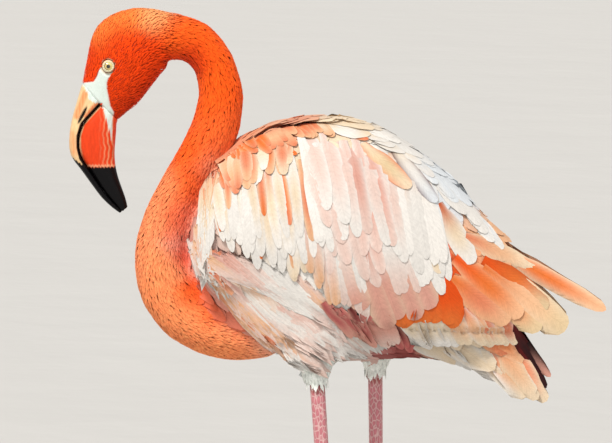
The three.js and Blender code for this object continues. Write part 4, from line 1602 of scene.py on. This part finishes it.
@dataclass(frozen=True)
class Tract:
    """A row of feathers, given by the chains of places where they start and end, seen from the side."""

    roots: tuple[Spot, ...]
    tips: tuple[Spot, ...]
    count: int
    width: float
    hues: tuple[tuple[Hue, Hue, Hue], ...]
    edge: Hue = Hue.WHITE
    point: float = 1.6
    stray: float = 1.5
    slide: float = 0.0
    seed: int = 1
    spread: float = 0.12

    def lay(self, ground: Ground, form: VaneForm, side: float, give: float) -> Plumes:
        """Works out the row's feathers.

        Args:
            ground: what they lie on.
            form: their grid.
            side: 1 for the bird's left and -1 for its right.
            give: how steeply they can bend inwards over an edge before they stand free of the ground.

        Returns:
            The feathers, the rearmost first.
        """
        rng = np.random.default_rng(self.seed)
        n = self.count
        u = np.linspace(0.0, 1.0, n) if n > 1 else np.array([0.5])
        u = np.clip(u + rng.uniform(-0.3, 0.3, n) / max(n, 2), 0, 1)[::-1]
        root = follow(self.roots, u) + rng.normal(0, 1, (n, 2)) * self.stray * MM
        tip = follow(self.tips, u) + rng.normal(0, 1, (n, 2)) * self.stray * MM
        slide = rng.uniform(-1, 1, n)[:, None] * self.slide * MM * unit(tip - root)
        root, tip = root + slide, tip + slide
        if self.slide:
            order = np.argsort(root[:, 1] - 0.6 * root[:, 0])
            u, root, tip = u[order], root[order], tip[order]
        t = form.t
        line = root[:, None] * (1 - t[None, :, None]) + tip[:, None] * t[None, :, None]
        sideways = unit(tip - root)[:, ::-1] * np.array([1.0, -1.0])
        bend = rng.normal(0.0, 0.015, n) * (self.stray > 0) * np.linalg.norm(tip - root, axis=1)
        line = line + sideways[:, None] * (bend[:, None] * np.sin(math.pi * t))[..., None]
        places, ups = ground.from_side(line, side)
        for i in range(1, len(t)):
            step = np.linalg.norm(line[:, i] - line[:, i - 1], axis=1)
            least = places[:, i - 1, 0] * side - give * step
            stiff = places[:, i, 0] * side < least
            places[stiff, i, 0] = least[stiff] * side
            ups[stiff, i] = ups[stiff, i - 1]
        for _ in range(3):
            for grid in (places, ups):
                grid[:, 1:-1] = 0.5 * grid[:, 1:-1] + 0.25 * (grid[:, :-2] + grid[:, 2:])
        ups = unit(ups)
        ahead = np.gradient(places, axis=1)
        ahead = unit(ahead - ups * (ahead * ups).sum(axis=-1, keepdims=True))
        length = np.linalg.norm(np.diff(places, axis=1), axis=-1).sum(axis=1)
        stops = np.array([[hue.rgb for hue in row] for row in self.hues])
        at = u * (len(stops) - 1) + rng.uniform(-0.35, 0.35, n)
        picked = stops[np.clip(np.rint(at).astype(int), 0, len(stops) - 1)]
        edge = np.tile(self.edge.rgb, (n, 1))
        width = self.width * MM * rng.uniform(1 - self.spread, 1 + self.spread, n)
        return Plumes(places, ahead, ups, length, width, np.full(n, self.point), picked, edge)


@dataclass
class TuftCoat:
    """A piece of the coat made of small closed tufts that lie along the skin."""

    name: str
    ground: Ground
    flow: Callable[[np.ndarray], np.ndarray]
    length: float
    width: float
    tip_glow: float = 0.2
    root_shade: float = 0.05
    arch: float = 5.0
    stray: float = 0.13
    seed: int = 1
    slot: str = "plumage_coral"

    def build(self, roots: np.ndarray, mat: bpy.types.Material, tint: np.ndarray, depth: np.ndarray) -> None:
        """Makes the piece.

        Args:
            roots: where the tufts grow.
            mat: their material.
            tint: each one's colour.
            depth: the height of each one's tip over the skin.
        """
        rng = np.random.default_rng(self.seed)
        count = len(roots)
        t = np.array([0.0, 0.25, 0.65, 1.0])
        length = self.length * rng.uniform(0.8, 1.2, count)
        half = self.width * rng.uniform(0.85, 1.15, count) / 2
        turn = rng.normal(0, self.stray, count)
        line, ahead, up = comb_tracks(self.ground, roots, self.flow, length, t, turn)
        across = np.cross(up, ahead)
        tip = depth * rng.uniform(0.94, 1.04, count)
        lift = 0.1 * MM + tip[:, None] * (0.85 * (1 - (1 - t) ** self.arch) + 0.15 * t)
        wide = half[:, None] * np.array([0.75, 1.0, 0.8, 0.0])
        ridge = half[:, None] * np.array([0.25, 0.3, 0.22, 0.0])
        left = line + across * wide[..., None] + up * lift[..., None]
        right = line - across * wide[..., None] + up * lift[..., None]
        middle = line + up * (lift + ridge)[..., None]
        rings = np.stack([left, middle, right], axis=2)[:, :3].reshape(count, 9, 3)
        points = np.concatenate([rings, middle[:, 3:]], axis=1)
        quads, tris = [], [[2, 1, 0], [7, 9, 6], [8, 9, 7], [6, 9, 8]]
        for i in (0, 3):
            quads += [[i + 1, i + 4, i + 3, i], [i + 2, i + 5, i + 4, i + 1], [i, i + 3, i + 5, i + 2]]
        start = (np.arange(count) * 10)[:, None, None]
        blocks = [(np.array(quads) + start).reshape(-1, 4), (np.array(tris) + start).reshape(-1, 3)]
        mesh = new_mesh(self.name, points.reshape(-1, 3), blocks)
        lean = across[:, :, None] * np.array([0.6, 0.0, -0.6])[:, None] + up[:, :, None]
        soft = unit(np.concatenate([lean[:, :3].reshape(count, 9, 3), up[:, 3:]], axis=1)).reshape(-1, 3)
        ease_normals(mesh, soft, blocks, ([1, 1, -1, 1, 1, -1], [1, 1, 1, -1]))
        fade = np.append(np.repeat(t[:3], 3), t[3])
        level = (1 - self.root_shade) + (self.root_shade + self.tip_glow) * fade
        tints = tint[:, None] * level[None, :, None]
        tints = tints * rng.uniform(0.86, 1.12, (count, 1, 1))
        paint(mesh, "Tint", tints.reshape(-1, 3))
        spot = np.stack([fade - 0.5, np.array([0.5, 0, -0.5] * 3 + [0.0])], axis=-1) * BAKE_PATCH
        uv = neck_unwrap(line[:, 0])[:, None] + spot
        map_corners(mesh, "OFBake", uv.reshape(-1, 2))
        finish_piece(link_object(self.name, mesh), mat)


def hull_form() -> bpy.types.Object:
    """Makes a helper: the smooth outer form of body, wings and tail that the broad feathers lie on."""
    names = ("trunk", "tail", "neck_base", "thigh_left", "thigh_right", "wing_left", "wing_right",
             "wing_tip_left", "wing_tip_right")
    helper = copy_nodes(names, "hull")
    remesh(helper, 2.2 * MM)
    ease_shape(helper.data, 8, 0.85)
    swell = 7.0 * MM
    set_places(helper.data, places_of(helper.data) + normals_of(helper.data) * swell)
    remesh(helper, 2.6 * MM)
    ease_shape(helper.data, 8, 0.9)
    net = Net(helper.data)
    inward = unit(net.relax(normals_of(helper.data), 3))
    set_places(helper.data, net.relax(places_of(helper.data) - inward * swell, 16, keep=0.9))
    return helper


def pile_floor(points: np.ndarray) -> np.ndarray:
    """Gives the height, under the outer form, where the first feathers lie; less deep on the thin rear."""
    return (-3.0 + 2.2 * smooth((points[:, 1] - 0.08) / 0.06)) * MM


# ---------------------------------------------------------------- studio


@dataclass
class Studio:
    """A plain pale floor, soft light and the camera."""

    target: tuple[float, float, float] = (0.0, -0.0299, 0.662)
    distance: float = 4.79
    elevation: float = 5.5
    lens: float = 300.0
    floor_half: float = 60.0

    def camera(self) -> None:
        """Sets the camera on the bird's left, a little above its back."""
        data = bpy.data.cameras.new("Camera")
        data.lens, data.sensor_width = self.lens, 36.0
        data.clip_end = 200.0
        eye = bpy.data.objects.new("Camera", data)
        rise = math.radians(self.elevation)
        eye.location = (self.target[0] + self.distance * math.cos(rise), self.target[1],
                        self.target[2] + self.distance * math.sin(rise))
        eye.rotation_euler = (math.pi / 2 - rise, 0.0, math.pi / 2)
        bpy.context.scene.collection.objects.link(eye)
        bpy.context.scene.camera = eye

    def floor(self) -> None:
        """Lays the floor."""
        h = self.floor_half
        corners = np.array([(-h, -h, 0.0), (h, -h, 0.0), (h, h, 0.0), (-h, h, 0.0)])
        mesh = new_mesh("floor", corners, [np.array([[0, 1, 2, 3]])])
        floor = link_object("floor", mesh)
        mesh.materials.append(PlainFinish("Floor_plaster", Hue.FLOOR, 0.9, 0.4, 0.01).make())

    def lights(self) -> None:
        """Hangs a warm key at the upper left and a weaker, cooler fill, and lights the room."""
        scene = bpy.context.scene
        scene.view_settings.view_transform = "Standard"
        world = bpy.data.worlds.new("Room")
        world.use_nodes = True
        room = world.node_tree.nodes["Background"].inputs
        room["Color"].default_value = (1.0, 0.98, 0.96, 1.0)
        room["Strength"].default_value = 0.55
        scene.world = world
        lamps = (("Key", 2.8, 10.0, (1.0, 0.965, 0.92), (38.0, 0.0, 62.0)),
                 ("Fill", 0.6, 60.0, (0.95, 0.97, 1.0), (78.0, 0.0, 110.0)))
        for name, power, angle, colour, turn in lamps:
            data = bpy.data.lights.new(name, "SUN")
            data.energy, data.angle, data.color = power, math.radians(angle), colour
            lamp = bpy.data.objects.new(name, data)
            lamp.rotation_euler = tuple(math.radians(v) for v in turn)
            scene.collection.objects.link(lamp)

    def build(self) -> None:
        """Sets up the whole studio."""
        self.camera()
        self.floor()
        self.lights()


# ---------------------------------------------------------------- the coat's plan


W, CW, CR, BL, PK, MA, DU = Hue.WHITE, Hue.COOL_WHITE, Hue.CREAM, Hue.BLUSH, Hue.PINK, Hue.MAROON, Hue.DUSK
OR, PE, SA, VI, SN, BU, RO = Hue.ORANGE, Hue.PEACH, Hue.SALMON, Hue.VIVID, Hue.SAND, Hue.BURNT, Hue.ROSE


def one(root: Spot, tip: Spot, width: float, hues: tuple[Hue, Hue, Hue], edge: Hue, point: float) -> Tract:
    """Names a single feather by where it starts and ends."""
    return Tract((root,), (tip,), 1, width, (hues,), edge=edge, point=point, stray=0.0, spread=0.0)


TAIL_TRACTS = (
    Tract(((100, 552), (86, 560)), ((152, 516), (146, 526)), 4, 18, ((CR, CR, W), (PE, CR, W)), seed=4,
          point=1.4),
    Tract(((132, 537), (145, 551)), ((173, 497), (183, 502)), 3, 18, ((PE, CR, CR), (SA, PE, CR)), seed=5,
          point=1.6),
    one((152, 556), (197, 493), 21, (OR, SA, CR), CR, 1.9),
    one((143, 556), (188, 496), 20, (OR, PE, CR), CR, 1.8),
    Tract(((58, 568), (73, 565), (96, 560)), ((110, 540), (124, 530), (145, 525)), 6, 26,
          ((PE, CR, CR), (BL, CR, W), (PE, CR, CR)), seed=6, point=1.4),
    one((132, 581), (172, 530), 28, (VI, OR, PE), CR, 1.2),
    one((117, 588), (157, 540), 24, (SA, OR, SA), PE, 1.6),
)
PRIMARY_TRACTS = (
    one((151, 577), (196, 506), 13, (DU, MA, DU), DU, 2.6),
    one((152, 579), (200, 516), 11, (DU, DU, PK), DU, 2.6),
    one((158, 573), (191, 521), 12, (MA, DU, DU), MA, 2.4),
)
WING_TRACTS = (
    one((146, 640), (252, 579), 19, (OR, OR, PE), CR, 3.4),
    one((134, 624), (215, 564), 34, (OR, PE, SN), CR, 1.15),
    one((124, 615), (190, 564), 28, (VI, OR, SN), SN, 1.5),
    Tract(((51, 624), (70, 624), (96, 628)), ((58, 576), (82, 574), (107, 573)), 7, 24, ((VI, VI, OR),),
          edge=VI, point=1.3, seed=9),
    # painted shade: this feather's burnt-orange edge stands for the shadow line along it.
    one((134, 631), (196, 583), 27, (VI, OR, SN), BU, 1.25),
    one((104, 615), (159, 573), 28, (OR, SA, PE), PE, 1.5),
    one((107, 634), (172, 577), 27, (VI, OR, PE), PE, 1.5),
    Tract(((54, 590), (84, 588), (116, 586), (150, 582)), ((78, 552), (106, 551), (136, 550), (168, 550)), 24,
          17, ((PE, CR, W), (CR, CR, W), (SA, PE, CR), (OR, SA, CR)), seed=7, point=2.2, slide=3),
    # partly painted shade: this low row's rose is the underparts' own deep pink; its maroon is painted shade
    # under the body.
    Tract(((-14, 594), (5, 588), (30, 583), (54, 579)), ((13, 562), (33, 556), (50, 550), (68, 549)), 26, 12,
          ((RO, RO, PK), (MA, RO, PK), (RO, PK, BL), (MA, MA, RO)), edge=PK, point=3.0, seed=8, slide=5),
    Tract(((-7, 659), (13, 654), (38, 649), (60, 647)), ((11, 596), (38, 576), (68, 578), (89, 588)), 6, 27,
          ((W, BL, PK), (W, PK, PK), (BL, PK, PK)), edge=CR, point=1.3, seed=10, spread=0.05, stray=3.0),
    Tract(((-83, 697), (-45, 692), (-17, 682), (11, 671)), ((-75, 635), (-38, 624), (-7, 603), (23, 588)),
          18, 13, ((CR, W, W), (W, W, CR), (W, BL, PE), (W, W, BL)), point=3.4, seed=11, slide=11),
    one((117, 652), (184, 619), 24, (SA, PE, CR), CR, 1.8),
    Tract(((-12, 711), (21, 709), (54, 701), (80, 692)), ((13, 624), (51, 610), (89, 606), (100, 612)), 13,
          17, ((W, BL, BL), (W, PK, BL), (W, W, BL), (PE, W, W), (W, W, W)), point=3.2, seed=12, slide=11),
    Tract(((-117, 713), (-92, 720), (-64, 720), (-36, 718), (-15, 718)),
          ((-107, 654), (-83, 645), (-52, 643), (-28, 645), (0, 630)), 28, 11,
          ((BL, CR, W), (CR, W, W), (SA, CR, W), (W, CR, W), (CR, W, W), (W, W, BL)), point=3.4, seed=13,
          slide=14),
    Tract(((-36, 747), (-7, 751), (21, 747), (51, 738), (76, 724)),
          ((-11, 668), (13, 656), (47, 641), (74, 624), (102, 619)), 20, 17,
          ((W, BL, BL), (BL, BL, W), (BL, PK, BL), (W, BL, W), (PE, W, W), (W, CW, W)), point=2.8, seed=14,
          slide=14),
    one((67, 694), (93, 620), 17, (PE, SN, CR), W, 2.2),
    one((92, 682), (124, 627), 24, (BU, CR, W), W, 1.25),
    one((-36, 724), (-24, 652), 9, (PE, SA, PE), CR, 3.4),
    one((-50, 686), (-41, 628), 6, (BU, OR, PE), CR, 3.6),
    one((-77, 700), (-70, 636), 6, (BU, OR, OR), CR, 3.6),
    one((-57, 728), (-44, 666), 10, (SA, OR, SA), CR, 3.4),
    one((-74, 732), (-67, 674), 8, (SA, SA, OR), CR, 3.4),
    one((-102, 720), (-99, 679), 7, (CR, SA, PE), CR, 3.2),
    one((-113, 720), (-107, 659), 5, (BU, OR, OR), CR, 3.6),
    one((22, 737), (65, 696), 22, (CR, SN, CR), SA, 1.6),
    one((44, 739), (89, 682), 20, (CR, W, CW), MA, 2.0),
    one((7, 729), (13, 699), 16, (PE, BL, PE), PE, 2.2),
    Tract(((-109, 722), (-92, 737), (-71, 743), (-50, 744)),
          ((-102, 699), (-85, 701), (-70, 711), (-45, 711)), 16, 12,
          ((SA, OR, SA), (CR, PE, SA), (OR, SA, PE), (BL, CR, W), (SA, OR, PE), (PE, SA, CR)), edge=CR,
          point=2.2, seed=15, slide=7),
    one((-89, 722), (-85, 694), 9, (OR, OR, SA), SA, 2.2),
    one((-61, 738), (-38, 728), 8, (VI, VI, OR), OR, 2.4),
    Tract(((-103, 729), (-83, 744), (-50, 753), (-17, 756)), ((-92, 720), (-66, 731), (-34, 741), (-3, 743)),
          20, 11, ((OR, SA, OR), (VI, OR, SA), (SA, PE, SA), (OR, SA, PE), (PE, CR, PE)), edge=PE, point=2.2,
          seed=16, slide=5),
    Tract(((-17, 756), (7, 757), (40, 748), (68, 731), (96, 705), (117, 680)),
          ((23, 744), (51, 732), (82, 709), (107, 682), (132, 656), (152, 640)), 15, 18,
          ((CR, W, CR), (PE, CR, W), (W, CW, W), (W, CW, CW), (CW, W, W), (W, CW, W)), point=2.0, seed=17,
          slide=4),
    one((-11, 751), (27, 739), 9, (VI, OR, SA), PE, 3.0),
)
# partly painted light: the orange and salmon at the front of these rows, by the neck, paint an orange glow
# seen there; the rest are the feathers' own peach, pink and white.
FLANK_TRACTS = (
    Tract(((-131, 642), (-122, 640), (-108, 636), (-94, 630)),
          ((-108, 600), (-96, 594), (-82, 594), (-68, 588)), 30, 12,
          ((OR, SA, PE), (SA, PE, BL), (PE, BL, W)), seed=20, point=3.6, slide=6),
    Tract(((-112, 604), (-93, 590), (-72, 574), (-54, 557)), ((-62, 549), (-38, 535), (-16, 527), (-1, 524)),
          52, 9, ((SA, PE, BL), (OR, SA, PE), (PE, BL, W), (SA, PE, BL), (PK, BL, W)), seed=21, point=4.2,
          slide=10),
    Tract(((-131, 632), (-115, 624), (-92, 617), (-64, 606), (-36, 592)),
          ((-83, 572), (-50, 556), (-17, 541), (11, 537), (34, 540)), 64, 9,
          ((SA, PE, BL), (PK, BL, PE), (PE, W, BL), (PK, BL, W), (BL, W, BL)), seed=22, point=4.2, slide=14),
    Tract(((-127, 637), (-106, 635), (-83, 631), (-59, 625), (-31, 614), (-7, 598)),
          ((-71, 605), (-45, 594), (-17, 575), (7, 559), (28, 549), (44, 544)), 84, 10,
          ((PE, BL, W), (PK, BL, W), (BL, W, W), (W, W, BL), (BL, PE, W), (W, BL, W)), seed=23, point=4.0,
          slide=12),
    Tract(((-110, 714), (-118, 700), (-122, 685), (-126, 668), (-128, 650), (-127, 632)),
          ((-116, 682), (-121, 664), (-124, 648), (-124, 630), (-117, 612), (-100, 596)), 64, 9,
          ((SA, PE, CR), (PE, CR, W), (CR, W, W), (PE, BL, W), (BL, W, W)), seed=24, point=3.2, stray=3.5,
          slide=6),
)


@dataclass
class Coat:
    """All the feathers: small tufts on head and neck, broad ones on body, wings and tail."""

    skin: bpy.types.Object
    neck_spacing: float = 1.75 * MM
    body_spacing: float = 8.0 * MM
    body_rear: float = 0.14
    wing_edge: float = 0.595
    wing_front: Spot = (-0.08, 0.66)

    def __post_init__(self) -> None:
        """Reads the grounds and names each vertex's part."""
        self.mesh = self.skin.data
        self.points = places_of(self.mesh)
        self.ground = Ground(self.mesh)
        self.form = hull_form()
        self.hull = Ground(self.form.data)
        self.names = ("head", *NECK_NODES, "trunk", "tail", "wing_left", "wing_right", "wing_tip_left",
                      "wing_tip_right", "thigh_left", "thigh_right", "bill_upper", "bill_lower", "shin_left",
                      "shin_right")
        self.part = np.array(self.names)[Skin().label(self.points, self.names)]
        self.down = DownFinish().make()
        self.vane = FeatherFinish().make()
        self.pile = Pile(start=pile_floor)

    def tufts(self, name: str, wanted: np.ndarray, spacing: float, flow: Callable, length: float,
              width: float, depth: Callable, seed: int, **looks) -> None:
        """Plants one piece of tufts on part of the skin.

        Args:
            name: the piece's name.
            wanted: for each of the skin's vertices, whether the part takes it in.
            spacing: the least distance between roots.
            flow: gives the lie at places.
            length: the tufts' length.
            width: their width.
            depth: gives the height of their tips at places.
            seed: picks their chance differences.
            looks: other sizes of the piece.
        """
        roots = scatter(self.mesh, wanted, spacing, seed)
        coat = TuftCoat(name, self.ground, flow, length, width, seed=seed, **looks)
        coat.build(roots, self.down, markings(roots), depth(roots))

    def head_and_neck(self) -> None:
        """Plants the tufts of face, crown, nape and neck, smallest on the face."""
        bare = bareness(self.points) > -0.4
        eyes = np.array([Skin().eye_gap(p) < 5.6 for p in self.points])
        head = (self.part == "head") & ~bare & ~eyes
        face = self.points[:, 1] < FACE_REAR
        self.tufts("coat_face", head & face, 1.25 * MM, head_flow, 3.6 * MM, 1.3 * MM,
                   lambda p: np.full(len(p), 1.1 * MM), 31, stray=0.16)
        self.tufts("coat_crown", head & ~face, 1.7 * MM, head_flow, 5.6 * MM, 1.8 * MM,
                   lambda p: (1.7 + 1.2 * smooth((p[:, 1] + 0.19) / 0.03)) * MM, 32, stray=0.18)
        for number, name in enumerate(NECK_NODES):
            self.tufts(f"coat_{name}", self.part == name, self.neck_spacing, NECK.flow, 7.5 * MM, 2.7 * MM,
                       lambda p, n=name: np.full(len(p), COAT_DEPTH[n] * MM), 33 + number)

    def comb(self, roots: np.ndarray, form: VaneForm, seed: int, length: Spot, turn: float, width: Spot,
             point: float, painted_root_shade: float) -> Plumes:
        """Makes feathers that follow the body's lie, the rearmost first.

        Args:
            roots: where they grow.
            form: their grid.
            seed: picks their chance differences.
            length: the least and the greatest length, in millimetres.
            turn: how far they stray from the lie, in radians.
            width: the least and the greatest width, in millimetres.
            point: how pointed they are.
            painted_root_shade: how bright their roots are painted, as painted shade under the feathers above.

        Returns:
            The feathers.
        """
        rng = np.random.default_rng(seed)
        roots = roots[np.argsort(-roots[:, 1] + rng.uniform(0, 0.004, len(roots)))]
        count = len(roots)
        lengths = rng.uniform(*length, count) * MM
        turns = rng.normal(0, turn, count)
        places, ahead, ups = comb_tracks(self.hull, roots, body_flow, lengths, form.t, turns)
        tint = markings(places[:, 3])
        # painted shade: each feather's root is painted darker where the feathers above lie over it; its tip
        # is a little lighter.
        hues = np.stack([tint * painted_root_shade, tint, np.minimum(tint * 1.06, 1)], axis=1)
        widths = rng.uniform(*width, count) * MM
        return Plumes(places, ahead, ups, lengths, widths, np.full(count, point), hues,
                      np.minimum(tint * 1.1, 1))

    def body(self) -> None:
        """Lays the body's contour feathers, from the tail forward."""
        form = VaneForm(along=5, across=4)
        part = np.array(self.names)[Skin().label(self.hull.places, self.names)]
        wing = np.char.startswith(part, "wing")
        y, z = self.hull.places[:, 1], self.hull.places[:, 2]
        wanted = wing | np.isin(part, ["trunk", "tail"])
        wanted |= (part == "neck_base") & (y > -0.115) & (z > 0.58)
        wanted &= y < self.body_rear
        # Over the wing's lower edge these would fold back on themselves, and the wing's own rows cover it.
        wanted &= ~(wing & ((z < self.wing_edge) | ((y < self.wing_front[0]) & (z < self.wing_front[1]))))
        roots = scatter(self.form.data, wanted, self.body_spacing, 41)
        plumes = self.comb(roots, form, 42, (27, 36), 0.14, (13, 17), 1.7, 0.8)
        VaneCoat("coat_body", self.hull, self.pile, form, seed=43, tip_lift=0.4 * MM, fray=0.02, lean=0.9,
                 ceiling=4.0 * MM).build(plumes, self.vane)

    def rows(self, name: str, tracts: Sequence[Tract], side: str, form: VaneForm, by_root: bool = False,
             give: float = 0.6, **looks) -> None:
        """Lays rows of broad feathers on one side as one piece.

        Args:
            name: the piece's name before its side.
            tracts: the rows.
            side: the side that they lie on.
            form: the feathers' grid.
            by_root: whether the lowest and rearmost roots come first.
            give: how steeply they can bend inwards over an edge.
            looks: other settings of the piece.
        """
        plumes = Plumes.join([tract.lay(self.hull, form, SIDES[side], give) for tract in tracts])
        if by_root:
            plumes = plumes.pick(np.argsort(plumes.centre[:, 0, 2] - 0.5 * plumes.centre[:, 0, 1]))
        VaneCoat(f"{name}_{side}", self.hull, self.pile, form, **looks).build(plumes, self.vane)

    def mantle(self) -> None:
        """Lays the feathers of the back's ridge, where the two wings' rows meet."""
        form = VaneForm(along=6, across=4)
        x, y, z = self.hull.places.T
        wanted = (self.hull.normals[:, 2] > 0.45) & (np.abs(x) < 20 * MM) & (z > 0.64)
        roots = scatter(self.form.data, wanted & (y > -0.112) & (y < 0.095), self.body_spacing, 71)
        plumes = self.comb(roots, form, 72, (34, 44), 0.08, (15, 19), 1.8, 0.9)
        VaneCoat("coat_mantle", self.hull, self.pile, form, seed=73).build(plumes, self.vane)

    def thighs(self) -> None:
        """Plants the loose pale plumes of the thighs, which end in a cuff round each leg."""
        for side in SIDES:
            wanted = (self.part == f"thigh_{side}") & (self.points[:, 2] > CUFF_HEIGHT)
            roots = scatter(self.mesh, wanted, 2.1 * MM, 51)
            coat = TuftCoat(f"coat_thigh_{side}", self.ground, down_flow, 10 * MM, 4.0 * MM, seed=52,
                            slot="plumage_blush", tip_glow=0.05, stray=0.12)
            tint = np.tile(Hue.DOWN.rgb, (len(roots), 1))
            coat.build(roots, self.down, tint, np.full(len(roots), 3.4 * MM))

    def build(self) -> None:
        """Lays the whole coat, from the lowest feathers to the topmost."""
        self.head_and_neck()
        self.thighs()
        long_form = VaneForm(along=9, across=4)
        self.body()
        for side in SIDES:
            self.rows("coat_primaries", PRIMARY_TRACTS, side, long_form, slot="plumage_tangerine")
            self.rows("coat_tail", TAIL_TRACTS, side, long_form, slot="plumage_tangerine", seed=61, lean=0.9,
                      nodes=("tail",) if side == "left" else ())
        for side in SIDES:
            self.rows("coat_wing", WING_TRACTS, side, VaneForm(along=9, across=6), seed=62, by_root=True,
                      nodes=(f"wing_tip_{side}",))
            self.rows("coat_flank", FLANK_TRACTS, side, VaneForm(along=8, across=2, thickness=0.2 * MM),
                      seed=63, fray=0.01, rim=0.35, give=0.9, lean=0.9, ceiling=4.0 * MM)
        self.mantle()
        discard(self.form)


def main() -> None:
    """Builds the studio and the bird, piece by piece, and reports each."""
    logging.basicConfig(level=logging.INFO, format="%(message)s")
    Studio().build()
    skin = Skin().build()
    Bill().build()
    for side in SIDES:
        Eye(side).build()
    dress_claws()
    Coat(skin).build()


if __name__ == "__main__":
    main()
